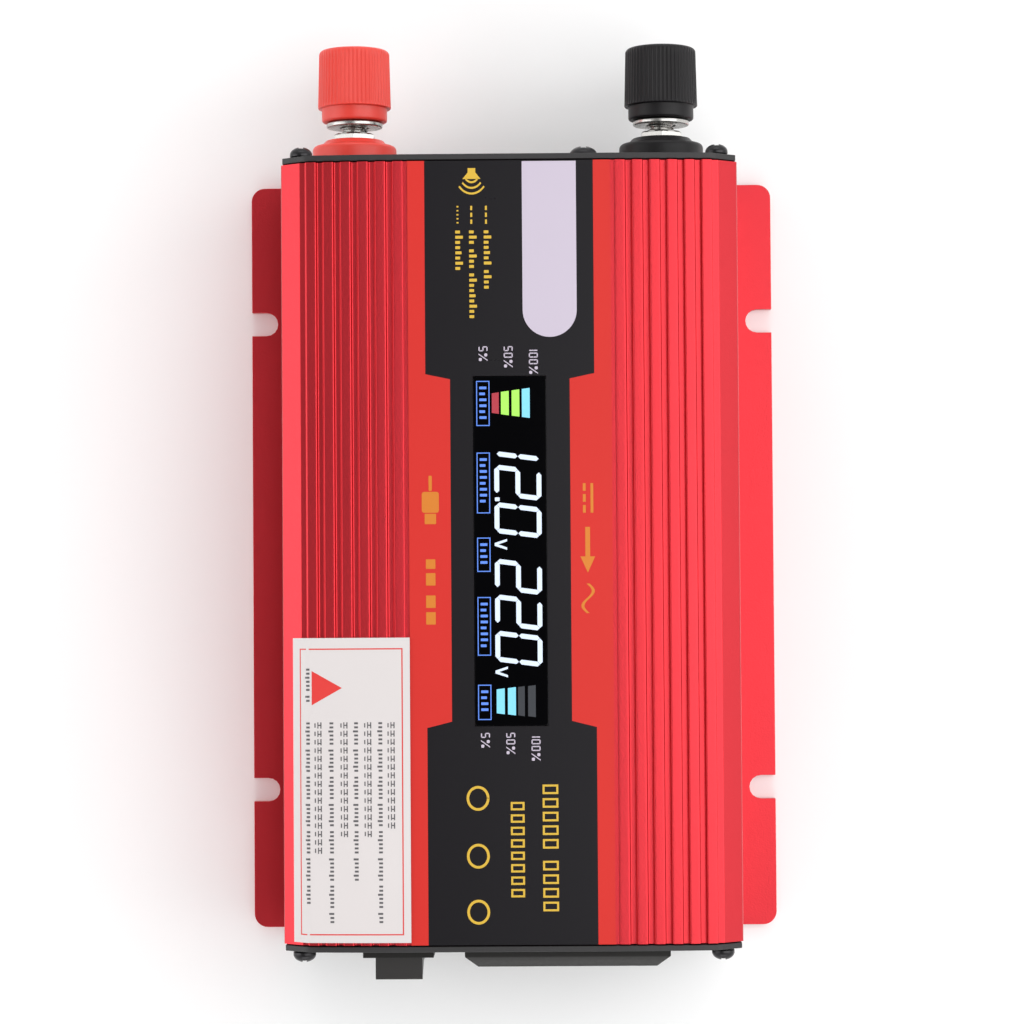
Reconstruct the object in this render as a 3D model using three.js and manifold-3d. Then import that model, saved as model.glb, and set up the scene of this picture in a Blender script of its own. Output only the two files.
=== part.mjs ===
// DC to AC power inverter: a ribbed aluminium cover on a flanged tray, closed by two end panels.
// Millimetres, +Z up. The origin is the centre of the tray's underside; the binding posts are at +Y,
// the mains socket and the switch at -Y.

import * as THREE from 'three';
import { mergeVertices } from 'three/addons/utils/BufferGeometryUtils.js';
import Module from 'manifold-3d';

const wasm = await Module();
wasm.setup();

// ---- Driving dimensions ------------------------------------------------------------------------

// Clearances
const gap = 0.3; // between faces that touch
const filmGap = 0.12; // under a bonded film
const windowGap = 0.15; // round the display lens
const turnGap = 0.8; // round a spinning piece

// Case
const caseLength = 168; // over both end panels
const caseWidth = 97;
const caseHeight = 54;
const panelThickness = 1.2;
const panelInset = 0.3; // end panel edge inside the extrusion's outline

// Cover extrusion
const seatWidth = 44.6; // flat seat of the face label
const seatDepth = 0.5;
const shoulderRadius = 200;
const bandWidth = 4.2; // smooth band between the last groove and the side, in plan
const bandDrop = 3.2;
const ribCount = 6;
const grooveWidth = 1.4;
const grooveDepth = 1;
const coverWall = 2.2; // under the grooves
const sideWall = 2.5;
const sideGrooveCount = 4;
const sideGrooveWidth = 1.6;
const sideGrooveDepth = 0.8;

// Tray extrusion
const flangeReach = 10.5; // flange beyond the case side
const flangeInset = 0.2; // flange's end inside the end panels' outer faces
const flangeThickness = 2;
const flangeCorner = 3;
const baseThickness = 2.5;
const trayWallHeight = 14;
const slotWidth = 5.3;
const slotDepth = 5.9;
const slotSpacing = 105.6;
const railReach = 3.5;
const railThickness = 1;
const tongueThickness = 1.5;
const tongueHeight = 3.6;

// End panel screws
const screwInset = 4.2; // from the case side
const screwDrop = 1.7; // from the band's lower edge
const trayScrewHeight = 4.9;
const screwRadius = 1.15;
const screwHeadRadius = 2.4;
const screwHeadHeight = 2.6;
const screwLength = 9;
const bossWall = 1.2;

// Face label, display and sticker
const labelWidth = 42.8;
const labelThickness = 0.3;
const windowWidth = 15.2;
const windowLength = 73.4;
const windowX = -0.1;
const windowY = 0.1;
const lensThickness = 1.5;
const displayGlass = { width: 19, length: 80, thickness: 2.8 };
const displayBoard = { width: 28, length: 92, thickness: 1.6 };
const stickerLength = 63.9;
const stickerOverlap = 0.9; // over the label's edge
const stickerThickness = 0.25;
const stickerEndMargin = 0.6;
const stickerOnBand = [0.2, 0.4]; // share of the band that the sticker's edge lies on

// Mains socket
const socketX = 11.4;
const socketZ = 27;
const socketProud = 3.9;
const socketEdge = 1.6;
const socketBody = 38.4;
const socketLip = 2.55; // flange beyond the body
const socketBevel = 2.75; // in plan, from the flange's edge to the face's
const socketDepth = 22;
const poleSpacing = 19;
const poleDrop = 3;
const earthRise = 9.5;
const pinRadius = 2.6;
const bladeSpacing = 12.7;
const bladeSlot = { width: 2.2, height: 8.4 };
const earthSlot = { width: 7.6, height: 2.2 };
const contactPocket = { width: 10.4, height: 10, frontWall: 6 };
const contactWall = 0.8;
const contactTail = 5;

// Rocker switch
const switchX = -24.5;
const switchZ = 36;
const bezelProud = 1.9;
const switchWall = { side: 1, end: 0.8 };
const bezelLip = { side: 1.2, end: 0.9 };
const switchDepth = 18;
const rockerWidth = 10;
const rockerHalfLength = 8.2;
const rockerValley = 3.5; // pivot to the valley between the two faces
const rockerTilt = 11; // degrees either way
const rockerPivotOut = 0.3;
const rockerKeel = 4;
const rockerPinRadius = 1;
const rockerPinReach = 1.1;
const spade = { width: 4.8, thickness: 0.8, length: 7, spacing: 10 };

// USB port and indicators
const usbX = -24.5;
const usbZ = 14.5;
const usbShell = { width: 13.1, height: 5.7, wall: 0.35, length: 14, proud: 0.3 };
const usbTongue = { width: 11, height: 1.8, rise: 1.2, recess: 0.9, rootLength: 2.5 };
const usbBoard = { reach: 15, length: 17, thickness: 1.6, socketClearance: 1.7 };
const indicatorX = -39.3;
const indicatorHeights = { power_indicator: 33, fault_indicator: 26.5 };
const indicatorRadius = 1.5;

// Air inlet slots in the front panel
const inletX = [-39.3, 39];
const inletTop = 21.5;
const inletSlot = { width: 6, height: 1.6, pitch: 3.2, count: 4 };

// Fan
const fanX = 0;
const fanZ = 27;
const fanSize = 40;
const fanDepth = 10;
const fanRim = 1.4; // thinnest wall round the bore
const fanHoleMargin = 4; // screw hole to the frame's edge
const fanHubRadius = 8.5;
const fanBladeCount = 7;
const fanBlade = { chord: 8, thickness: 1, pitch: 40 };
const fanStrut = { width: 2, depth: 2 };
const fanShaftRadius = 1;
const fanScrewRadius = 1.4;
const fanScrewHeadRadius = 3;
const fanScrewHeadHeight = 2.9;
const grille = { count: 3, slot: 3, bar: 1.5, margin: 1.1 }; // rings of slots, inside the fan's bore
const grilleSpoke = 2.6;

// Binding posts
const postX = { positive: -34, negative: 33.3 };
const postZ = 27;
const postFlangeRadius = 9.2;
const postShoulder = 4.7;
const postRimHeight = 5.7;
const postConeRadius = 6.3;
const postTop = 6.7;
const studRadius = 2.95;
const studPanelRadius = 5; // insulating spigot through the rear panel
const studBack = 14;
const studFront = 23.2;
const nutFlats = 8.6;
const nutBottom = 4.7;
const nutTop = 8.2;
const backNutFlats = 10;
const backNutThickness = 4;
const backInsulatorRadius = 8;
const backInsulatorThickness = 3;
const washerRadius = 6.15;
const washerBottom = 9.6;
const washerThickness = 0.9;
const knobSkirtRadius = 7.15;
const knobSkirtTop = 13.8;
const knobRadius = 8;
const knobTipRadius = 7.7;
const knobTop = 26.9;
const knobDome = 1.2;
const knobBoreEnd = 24.8;
const lugRadius = 5.5;
const lugThickness = 1.2;
const leadRadius = 1.7;

// Electronics
const mainBoardThickness = 1.6;
const frontBay = 22.5; // board clear of the front panel
const rearBay = 12.5; // board clear of the rear panel
const transformer = { x: -8, width: 34, depth: 26, height: 25, leg: 10, window: 7, yoke: 3.5, overhang: 7 };
const inputCapacitor = { radius: 6.2, height: 25, fromRear: 20, pitch: 15, fromClamp: 1.2 };
const busCapacitor = { x: 24, radius: 9, height: 30, fromFront: 15 };
const choke = { x: 26, radius: 11, hole: 5, height: 10, spacing: 4 };
const buzzer = { x: 30, radius: 6, height: 8, fromRear: 26 };
const transistor = { width: 10, thickness: 4.5, height: 15, lift: 6, pitch: 16, count: 3 };
const transistorLeg = { width: 0.9, pitch: 2.5 };
const clampBar = { thickness: 2, height: 6 };

// ---- Derived places ----------------------------------------------------------------------------

const extrusionHalf = caseLength / 2 - panelThickness - gap;
const sideX = caseWidth / 2;
const seatX = seatWidth / 2;
const seatZ = caseHeight - seatDepth;
const shoulderAngle = Math.asin((sideX - seatX - bandWidth) / (shoulderRadius - grooveDepth));
const shoulderArc = shoulderAngle * shoulderRadius;
const ribPitch = shoulderArc / ribCount;
const landWidth = ribPitch - grooveWidth;
const bandStart = shoulderPoint(shoulderArc, grooveDepth);
const bandEnd = [sideX, bandStart[1] - bandDrop];
const innerX = sideX - sideWall;
const ceilingDepth = grooveDepth + coverWall;
const ceilingZ = caseHeight - ceilingDepth;
const coverBottom = trayWallHeight + gap;
const railTop = trayWallHeight - gap * 2;
const boardTop = railTop - railThickness - gap;
const boardBottom = boardTop - mainBoardThickness;
const boardFront = frontBay - extrusionHalf;
const boardRear = extrusionHalf - rearBay;
const screwX = sideX - screwInset;
const screwHeights = { upper: bandEnd[1] - screwDrop, lower: trayScrewHeight };
const displayTop = ceilingZ - gap;
const clampFaceX = innerX - gap - transistor.thickness - clampBar.thickness;
const socketFlange = socketBody + socketLip * 2;
const socketFace = socketFlange - socketBevel * 2;
const rockerCavity = { width: rockerWidth + gap * 2, height: (rockerHalfLength + gap * 2) * 2 };
const switchBodyWidth = rockerCavity.width + switchWall.side * 2;
const switchBodyHeight = rockerCavity.height + switchWall.end * 2;
const bezelWidth = switchBodyWidth + bezelLip.side * 2;
const bezelHeight = switchBodyHeight + bezelLip.end * 2;
const fanBore = fanSize / 2 - fanRim;
const fanHoleSpacing = fanSize - fanHoleMargin * 2;
const boreClearance = studRadius + gap;

// ---- Shapes ------------------------------------------------------------------------------------

// A closed geometry as a solid that can be joined and cut.
function solid(geometry) {
  geometry.deleteAttribute('normal');
  geometry.deleteAttribute('uv');
  const merged = mergeVertices(geometry, 1e-4);
  return new wasm.Manifold(new wasm.Mesh({
    numProp: 3,
    vertProperties: merged.attributes.position.array,
    triVerts: new Uint32Array(merged.index.array),
  }));
}

// A box between two values on each axis.
function box([x0, x1], [y0, y1], [z0, z1]) {
  const geometry = new THREE.BoxGeometry(x1 - x0, y1 - y0, z1 - z0);
  return solid(geometry.translate((x0 + x1) / 2, (y0 + y1) / 2, (z0 + z1) / 2));
}

// A box of a width and height about a point of the XZ plane, between two values of y.
function bar(width, height, x, z, range) {
  return box([x - width / 2, x + width / 2], range, [z - height / 2, z + height / 2]);
}

// A rod between two points.
function rod(radius, from, to, sides = 24) {
  const start = new THREE.Vector3(...from);
  const span = new THREE.Vector3(...to).sub(start);
  const along = span.clone().normalize();
  const turn = new THREE.Quaternion().setFromUnitVectors(new THREE.Vector3(0, 1, 0), along);
  const geometry = new THREE.CylinderGeometry(radius, radius, span.length(), sides);
  geometry.applyQuaternion(turn);
  const middle = start.addScaledVector(span, 0.5);
  return solid(geometry.translate(middle.x, middle.y, middle.z));
}

// A profile of [radius, y] points turned about the Y axis, listed so that its outer wall runs towards +Y.
function turned(profile, sides = 32) {
  return solid(new THREE.LatheGeometry(profile.map(([r, y]) => new THREE.Vector2(r, y)), sides));
}

// A ring: a turned profile that closes on itself.
function ring(inner, outer, from, to, sides = 32) {
  return turned([[inner, from], [outer, from], [outer, to], [inner, to], [inner, from]], sides);
}

// A hexagonal nut with a round hole, standing along Y.
function nut(flats, hole, from, to) {
  const corner = flats / 2 / Math.cos(Math.PI / 6);
  return rod(corner, [0, from, 0], [0, to, 0], 6).subtract(rod(hole, [0, from - 1, 0], [0, to + 1, 0]));
}

// An outline of [x, z] points extruded along Y between two values.
function prism(points, [y0, y1]) {
  const shape = new THREE.Shape(points.map(([x, z]) => new THREE.Vector2(x, z)));
  const geometry = new THREE.ExtrudeGeometry(shape, { depth: y1 - y0, bevelEnabled: false });
  return solid(geometry.rotateX(Math.PI / 2).translate(0, y1, 0));
}

// A square frustum along Y with a half width at each end.
function frustum(nearHalf, farHalf, nearY, farY) {
  const geometry = new THREE.CylinderGeometry(farHalf * Math.SQRT2, nearHalf * Math.SQRT2, farY - nearY, 4);
  return solid(geometry.rotateY(Math.PI / 4).translate(0, (nearY + farY) / 2, 0));
}

// A screw along Y: domed head outside y = 0, shank inside, pointing out along direction 1 or -1.
function screw(direction, headRadius, headHeight, radius, length) {
  const profile = [
    [0, -length],
    [radius, -length],
    [radius, gap],
    [headRadius, gap],
    [headRadius, headHeight * 0.6],
    [headRadius * 0.6, headHeight],
    [0, headHeight],
  ];
  const made = turned(profile, 16);
  return direction > 0 ? made : made.rotate([180, 0, 0]);
}

function mirrored(points) {
  return points.map(([x, z]) => [-x, z]).reverse();
}

const part = new THREE.Group();

function material(color, roughness, metalness = 0) {
  return new THREE.MeshStandardMaterial({ color, roughness, metalness });
}

// Puts a solid in a group as a named mesh.
function add(group, name, body, look) {
  const { vertProperties, triVerts } = body.getMesh();
  const geometry = new THREE.BufferGeometry();
  geometry.setAttribute('position', new THREE.BufferAttribute(vertProperties, 3));
  geometry.setIndex(new THREE.BufferAttribute(triVerts, 1));
  geometry.computeVertexNormals();
  const mesh = new THREE.Mesh(geometry, look);
  mesh.name = name;
  group.add(mesh);
}

// A group of the part placed at a point.
function groupAt(x, y, z) {
  const group = new THREE.Group();
  group.position.set(x, y, z);
  part.add(group);
  return group;
}

const anodised = material(0xd0303a, 0.42, 0.9);
const panelBlack = material(0x1d1b1c, 0.55);
const plasticBlack = material(0x202022, 0.5);
const plasticRed = material(0xe0443c, 0.45);
const nickel = material(0xcfcdc8, 0.25, 1);
const screwBlack = material(0x161517, 0.3, 0.8);
const brassLook = material(0xc9a24a, 0.35, 1);
const boardGreen = material(0x1f6a3a, 0.6);
const ferrite = material(0x34343a, 0.7);
const copperTape = material(0xd9b23a, 0.5);

// ---- Case --------------------------------------------------------------------------------------

// Point on the shoulder, at an arc length from the seat's edge and a depth below the rib tops.
function shoulderPoint(arc, depth) {
  const angle = arc / shoulderRadius;
  const radius = shoulderRadius - depth;
  return [
    seatX + radius * Math.sin(angle),
    caseHeight - shoulderRadius + radius * Math.cos(angle),
  ];
}

// Half the cover's outside, from the label seat outwards and down: six ribs, the band, the grooved side.
function coverOutside() {
  const points = [[seatX, seatZ]];
  for (let rib = 0; rib < ribCount; rib += 1) {
    const start = rib * ribPitch;
    points.push(shoulderPoint(start, 0), shoulderPoint(start + landWidth / 2, 0));
    points.push(shoulderPoint(start + landWidth, 0), shoulderPoint(start + landWidth, grooveDepth));
    points.push(shoulderPoint(start + ribPitch, grooveDepth));
  }
  points.push(bandEnd);
  const sidePitch = (bandEnd[1] - coverBottom) / (sideGrooveCount + 1);
  for (let groove = 1; groove <= sideGrooveCount; groove += 1) {
    const z = bandEnd[1] - groove * sidePitch;
    points.push([sideX, z + sideGrooveWidth / 2], [sideX - sideGrooveDepth, z + sideGrooveWidth / 2]);
    points.push([sideX - sideGrooveDepth, z - sideGrooveWidth / 2], [sideX, z - sideGrooveWidth / 2]);
  }
  points.push([sideX, coverBottom]);
  return points;
}

// Half the cover's inside, from the lower edge up to the ceiling.
function coverInside() {
  const points = [[innerX, coverBottom], [innerX, bandEnd[1] - gap]];
  const steps = 4;
  for (let step = steps; step >= 0; step -= 1) {
    points.push(shoulderPoint(shoulderArc * 0.94 * step / steps, ceilingDepth));
  }
  return points;
}

function windowCut(clearance, z0, z1) {
  const halfX = windowWidth / 2 + clearance;
  const halfY = windowLength / 2 + clearance;
  return box([windowX - halfX, windowX + halfX], [windowY - halfY, windowY + halfY], [z0, z1]);
}

// A tube for the end screws along the whole extrusion, and the hole down it.
function screwTube(x, z, radius) {
  return rod(radius, [x, -extrusionHalf, z], [x, extrusionHalf, z], 16);
}

function screwHole(x, z) {
  const reach = extrusionHalf + 1;
  return rod(screwRadius + gap, [x, -reach, z], [x, reach, z], 12);
}

function makeCover() {
  const outside = coverOutside();
  const inside = coverInside();
  const outline = [...outside, ...inside, ...mirrored(inside), ...mirrored(outside)];
  let cover = prism(outline, [-extrusionHalf, extrusionHalf]);
  for (const x of [-screwX, screwX]) {
    cover = cover.add(screwTube(x, screwHeights.upper, screwRadius + gap + bossWall));
  }
  for (const x of [-screwX, screwX]) cover = cover.subtract(screwHole(x, screwHeights.upper));
  cover = cover.subtract(windowCut(gap, displayTop, caseHeight));
  add(part, 'top_cover', cover, anodised);
}

// The flange plate: a rectangle with rounded corners and two open slots in each long edge. It is longer
// than the channel, and only its two sides are kept beside the end panels.
function flangePlate() {
  const x = sideX + flangeReach;
  const y = caseLength / 2 - flangeInset;
  const r = flangeCorner;
  const shape = new THREE.Shape();
  for (const side of [1, -1]) {
    const facing = side > 0 ? 0 : Math.PI;
    const slotX = side * (x - slotDepth + slotWidth / 2);
    shape.absarc(side * (x - r), side * (r - y), r, facing - Math.PI / 2, facing, false);
    for (const middle of [-slotSpacing / 2, slotSpacing / 2]) {
      const slotY = side * middle;
      const mouth = side * slotWidth / 2;
      shape.lineTo(side * x, slotY - mouth);
      shape.absarc(slotX, slotY, slotWidth / 2, facing - Math.PI / 2, facing + Math.PI / 2, true);
      shape.lineTo(side * x, slotY + mouth);
    }
    shape.absarc(side * (x - r), side * (y - r), r, facing, facing + Math.PI / 2, false);
  }
  const geometry = new THREE.ExtrudeGeometry(shape, {
    depth: flangeThickness,
    bevelEnabled: false,
    curveSegments: 4,
  });
  return solid(geometry);
}

// Half the tray's channel: side wall, two rails for the board, and the tongue inside the cover.
function trayHalf() {
  const railX = innerX - railReach;
  const tongueX = innerX - gap;
  return [
    [sideX, 0],
    [sideX, trayWallHeight],
    [tongueX, trayWallHeight],
    [tongueX, railTop + tongueHeight],
    [tongueX - tongueThickness, railTop + tongueHeight],
    [tongueX - tongueThickness, railTop],
    [railX, railTop],
    [railX, railTop - railThickness],
    [innerX, railTop - railThickness],
    [innerX, boardBottom - gap],
    [railX, boardBottom - gap],
    [railX, boardBottom - gap - railThickness],
    [innerX, boardBottom - gap - railThickness],
    [innerX, baseThickness],
  ];
}

function makeTray() {
  const half = trayHalf();
  const inside = box([-sideX, sideX], [-extrusionHalf, extrusionHalf], [0, flangeThickness]);
  const ends = box([-sideX, sideX], [-caseLength, caseLength], [-1, flangeThickness + 1]);
  let tray = prism([...half, ...mirrored(half)], [-extrusionHalf, extrusionHalf]);
  tray = tray.add(flangePlate().subtract(ends)).add(inside);
  for (const x of [-screwX, screwX]) {
    tray = tray.add(screwTube(x, screwHeights.lower, screwRadius + gap + bossWall));
  }
  for (const x of [-screwX, screwX]) tray = tray.subtract(screwHole(x, screwHeights.lower));
  add(part, 'bottom_tray', tray, anodised);
}

// An end panel's blank: the cover's outline without its grooves, down to just above the tray's underside.
function panelBlank(range) {
  const half = [];
  const steps = 6;
  const arcEnd = shoulderArc - grooveWidth;
  for (let step = 0; step <= steps; step += 1) half.push(shoulderPoint(arcEnd * step / steps, panelInset));
  half.push([bandStart[0] - panelInset, bandStart[1] - panelInset / 2]);
  half.push([bandEnd[0] - panelInset, bandEnd[1] - panelInset / 2], [sideX - panelInset, panelInset]);
  let blank = prism([...half, ...mirrored(half)], range);
  for (const x of [-screwX, screwX]) {
    for (const z of Object.values(screwHeights)) {
      blank = blank.subtract(rod(screwRadius + gap, [x, range[0] - 1, z], [x, range[1] + 1, z], 16));
    }
  }
  return blank;
}

function makeFrontPanel() {
  const outer = -caseLength / 2;
  const through = [outer - 1, outer + panelThickness + 1];
  const clear = gap * 2;
  let panel = panelBlank([outer, outer + panelThickness]);
  panel = panel.subtract(bar(socketBody + clear, socketBody + clear, socketX, socketZ, through));
  panel = panel.subtract(bar(switchBodyWidth + clear, switchBodyHeight + clear, switchX, switchZ, through));
  panel = panel.subtract(bar(usbShell.width + clear, usbShell.height + clear, usbX, usbZ, through));
  for (const z of Object.values(indicatorHeights)) {
    const hole = indicatorRadius + gap;
    panel = panel.subtract(rod(hole, [indicatorX, through[0], z], [indicatorX, through[1], z], 16));
  }
  for (const x of inletX) {
    for (let slot = 0; slot < inletSlot.count; slot += 1) {
      const z = inletTop - slot * inletSlot.pitch;
      panel = panel.subtract(bar(inletSlot.width, inletSlot.height, x, z, through));
    }
  }
  add(part, 'front_panel', panel, panelBlack);
}

function makeRearPanel() {
  const outer = caseLength / 2;
  const through = [outer - panelThickness - 1, outer + 1];
  let panel = panelBlank([outer - panelThickness, outer]);
  for (const x of Object.values(postX)) {
    panel = panel.subtract(rod(studPanelRadius + gap, [x, through[0], postZ], [x, through[1], postZ]));
  }
  const spokes = bar(grilleSpoke, fanSize, 0, 0, through).add(bar(fanSize, grilleSpoke, 0, 0, through));
  for (let index = 0; index < grille.count; index += 1) {
    const radius = fanBore - grille.margin - index * (grille.slot + grille.bar);
    const slots = ring(radius - grille.slot, radius, through[0], through[1], 32).subtract(spokes);
    panel = panel.subtract(slots.translate([fanX, 0, fanZ]));
  }
  for (const [x, z] of fanHoles()) {
    const hole = fanScrewRadius + gap;
    panel = panel.subtract(rod(hole, [fanX + x, through[0], fanZ + z], [fanX + x, through[1], fanZ + z], 16));
  }
  add(part, 'rear_panel', panel, panelBlack);
}

function makePanelScrews() {
  const ends = { front: -1, rear: 1 };
  const sides = { left: -1, right: 1 };
  for (const [end, direction] of Object.entries(ends)) {
    for (const [side, sign] of Object.entries(sides)) {
      for (const [level, z] of Object.entries(screwHeights)) {
        const group = groupAt(sign * screwX, direction * caseLength / 2, z);
        const body = screw(direction, screwHeadRadius, screwHeadHeight, screwRadius, screwLength);
        add(group, `panel_screw_${end}_${side}_${level}`, body, screwBlack);
      }
    }
  }
}

// ---- Label, sticker and display ----------------------------------------------------------------

function makeLabelAndDisplay() {
  const labelBottom = seatZ + filmGap;
  const labelTop = labelBottom + labelThickness;
  const labelX = labelWidth / 2;
  const label = box([-labelX, labelX], [-extrusionHalf, extrusionHalf], [labelBottom, labelTop]);
  add(part, 'face_label', label.subtract(windowCut(windowGap, seatZ, caseHeight)), plasticBlack);
  add(part, 'display_lens', windowCut(0, labelTop - lensThickness, labelTop), material(0x101014, 0.1));

  const slab = ({ width, length, thickness }, top) => box(
    [windowX - width / 2, windowX + width / 2],
    [windowY - length / 2, windowY + length / 2],
    [top - thickness, top],
  );
  const boardTopZ = displayTop - displayGlass.thickness - gap;
  add(part, 'display_glass', slab(displayGlass, displayTop), material(0x18202c, 0.1));
  add(part, 'display_board', slab(displayBoard, boardTopZ), boardGreen);
}

// The sticker's section: over the rib tops, then bent down on to the band.
function stickerLine(height) {
  const points = [];
  const steps = 12;
  const arcEnd = shoulderArc - grooveWidth;
  for (let step = 0; step <= steps; step += 1) {
    points.push(shoulderPoint(arcEnd * step / steps - stickerOverlap * (1 - step / steps), -height));
  }
  const run = [bandEnd[0] - bandStart[0], bandEnd[1] - bandStart[1]];
  const length = Math.hypot(...run);
  for (const share of stickerOnBand) {
    points.push([
      bandStart[0] + run[0] * share - run[1] / length * height,
      bandStart[1] + run[1] * share + run[0] / length * height,
    ]);
  }
  return points;
}

function makeSticker() {
  const outline = [...stickerLine(filmGap), ...stickerLine(filmGap + stickerThickness).reverse()];
  const front = stickerEndMargin - extrusionHalf;
  const left = outline.map(([x, z]) => [-x, z]);
  add(part, 'info_sticker', prism(left, [front, front + stickerLength]), material(0xf0e8e6, 0.5));
}

// ---- Mains socket ------------------------------------------------------------------------------

// The space behind each aperture that holds a contact.
function contactSpace(x, z, shrink, from, to) {
  return bar(contactPocket.width - shrink * 2, contactPocket.height - shrink * 2, x, z, [from, to]);
}

function makeSocket() {
  const group = groupAt(socketX, -caseLength / 2, socketZ);
  const through = [-socketProud - 1, socketDepth + 1];
  const pocketFront = contactPocket.frontWall - socketProud;
  const poles = { live: poleSpacing / 2, neutral: -poleSpacing / 2 };

  let housing = bar(socketFlange, socketFlange, 0, 0, [-socketEdge, -gap])
    .add(frustum(socketFace / 2, socketFlange / 2, -socketProud, -socketEdge))
    .add(bar(socketBody, socketBody, 0, 0, [-socketEdge, socketDepth]));
  for (const x of Object.values(poles)) {
    const bladeX = Math.sign(x) * bladeSpacing / 2;
    const bridge = box([Math.min(x, bladeX), Math.max(x, bladeX)], through, [-poleDrop - 1, -poleDrop + 1]);
    housing = housing
      .subtract(rod(pinRadius, [x, through[0], -poleDrop], [x, through[1], -poleDrop], 16))
      .subtract(bar(bladeSlot.width, bladeSlot.height, bladeX, -poleDrop, through))
      .subtract(bridge)
      .subtract(contactSpace(x, -poleDrop, 0, pocketFront, socketDepth + 1));
  }
  housing = housing
    .subtract(rod(pinRadius, [0, through[0], earthRise], [0, through[1], earthRise], 16))
    .subtract(bar(earthSlot.width, earthSlot.height, 0, earthRise, through))
    .subtract(contactSpace(0, earthRise, 0, pocketFront, socketDepth + 1));
  add(group, 'socket_housing', housing, plasticBlack);

  const places = {
    live: [poles.live, -poleDrop],
    neutral: [poles.neutral, -poleDrop],
    earth: [0, earthRise],
  };
  for (const [name, [x, z]] of Object.entries(places)) {
    const clip = contactSpace(x, z, gap, pocketFront + gap, socketDepth - gap);
    const clipEnd = socketDepth - gap - contactWall;
    const hollow = contactSpace(x, z, gap + contactWall, pocketFront, clipEnd);
    const tail = bar(spade.width, spade.thickness, x, z, [clipEnd, socketDepth + contactTail]);
    add(group, `${name}_contact`, clip.subtract(hollow).add(tail), brassLook);
  }
}

// ---- Rocker switch -----------------------------------------------------------------------------

function makeSwitch() {
  const group = groupAt(switchX, -caseLength / 2, switchZ);
  const tilt = THREE.MathUtils.degToRad(rockerTilt);
  const topCorner = rockerValley + rockerHalfLength * Math.tan(tilt);
  const cavityDepth = rockerKeel + gap;
  const pinHole = rockerPinRadius + gap;
  const pinReach = rockerWidth / 2 + rockerPinReach;

  let housing = bar(bezelWidth, bezelHeight, 0, 0, [-bezelProud, -gap])
    .add(bar(switchBodyWidth, switchBodyHeight, 0, 0, [-bezelProud, switchDepth]))
    .subtract(bar(rockerCavity.width, rockerCavity.height, 0, 0, [-bezelProud - 1, cavityDepth]))
    .subtract(rod(pinHole, [-pinReach - gap, -rockerPivotOut, 0], [pinReach + gap, -rockerPivotOut, 0], 16));
  for (const z of [-spade.spacing / 2, spade.spacing / 2]) {
    const range = [switchDepth - 1, switchDepth + spade.length];
    housing = housing.add(bar(spade.width, spade.thickness, 0, z, range));
  }
  add(group, 'switch_housing', housing, plasticBlack);

  // The rocker's side view with both ends level: [out from the pivot, up].
  const half = [
    [rockerValley, 0],
    [topCorner, rockerHalfLength],
    [topCorner - 1, rockerHalfLength + 0.1],
    [-0.5, rockerHalfLength - 0.8],
    [-rockerKeel, rockerHalfLength * 0.35],
  ];
  const outline = [...half, ...half.slice(1).map(([out, up]) => [out, -up]).reverse()];
  // Extruded along Z, then turned so that "out" is -Y and "up" is +Z.
  const shape = new THREE.Shape(outline.map(([out, up]) => new THREE.Vector2(out, up)));
  const geometry = new THREE.ExtrudeGeometry(shape, { depth: rockerWidth, bevelEnabled: false });
  geometry.translate(0, 0, -rockerWidth / 2);
  geometry.applyMatrix4(new THREE.Matrix4().makeBasis(
    new THREE.Vector3(0, -1, 0),
    new THREE.Vector3(0, 0, 1),
    new THREE.Vector3(-1, 0, 0),
  ));
  const pins = rod(rockerPinRadius, [-pinReach, 0, 0], [pinReach, 0, 0], 16);
  const rocker = solid(geometry).add(pins).rotate([rockerTilt, 0, 0]).translate([0, -rockerPivotOut, 0]);
  add(group, 'switch_rocker', rocker, plasticBlack);
}

// ---- USB port and indicators -------------------------------------------------------------------

function makeUsb() {
  const group = groupAt(usbX, -caseLength / 2, usbZ);
  const { width, height, wall, length, proud } = usbShell;
  const back = length - proud;
  const shell = bar(width, height, 0, 0, [-proud, back])
    .subtract(bar(width - wall * 2, height - wall * 2, 0, 0, [-proud - 1, back + 1]));
  add(group, 'usb_shell', shell, nickel);

  const inset = (wall + gap) * 2;
  const tongueFront = usbTongue.recess;
  const root = bar(width - inset, height - inset, 0, 0, [back - usbTongue.rootLength, back]);
  const tongue = bar(usbTongue.width, usbTongue.height, 0, usbTongue.rise / 2, [tongueFront, back]);
  add(group, 'usb_tongue', root.add(tongue), material(0x2b2f7a, 0.5));

  const boardTopZ = -height / 2 - gap;
  const boardStart = panelThickness + gap;
  const socketEdgeX = socketX - socketBody / 2 - usbX;
  const board = box(
    [-usbBoard.reach, socketEdgeX - usbBoard.socketClearance],
    [boardStart, boardStart + usbBoard.length],
    [boardTopZ - usbBoard.thickness, boardTopZ],
  );
  add(group, 'usb_board', board, boardGreen);
}

function makeIndicators() {
  const looks = { power_indicator: material(0x2fb457, 0.2), fault_indicator: material(0xd8342c, 0.2) };
  const r = indicatorRadius;
  const flangeAt = panelThickness + gap;
  const profile = [
    [0, -r * 0.9],
    [r * 0.62, -r * 0.7],
    [r, 0],
    [r, flangeAt],
    [r + 0.9, flangeAt],
    [r + 0.9, flangeAt + 1],
    [r, flangeAt + 1],
    [r, flangeAt + 4],
    [0, flangeAt + 4],
  ];
  for (const [name, z] of Object.entries(indicatorHeights)) {
    add(groupAt(indicatorX, -caseLength / 2, z), name, turned(profile, 16), looks[name]);
  }
}

// ---- Fan ---------------------------------------------------------------------------------------

function fanHoles() {
  const half = fanHoleSpacing / 2;
  return [[-half, half], [half, half], [-half, -half], [half, -half]];
}

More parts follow.
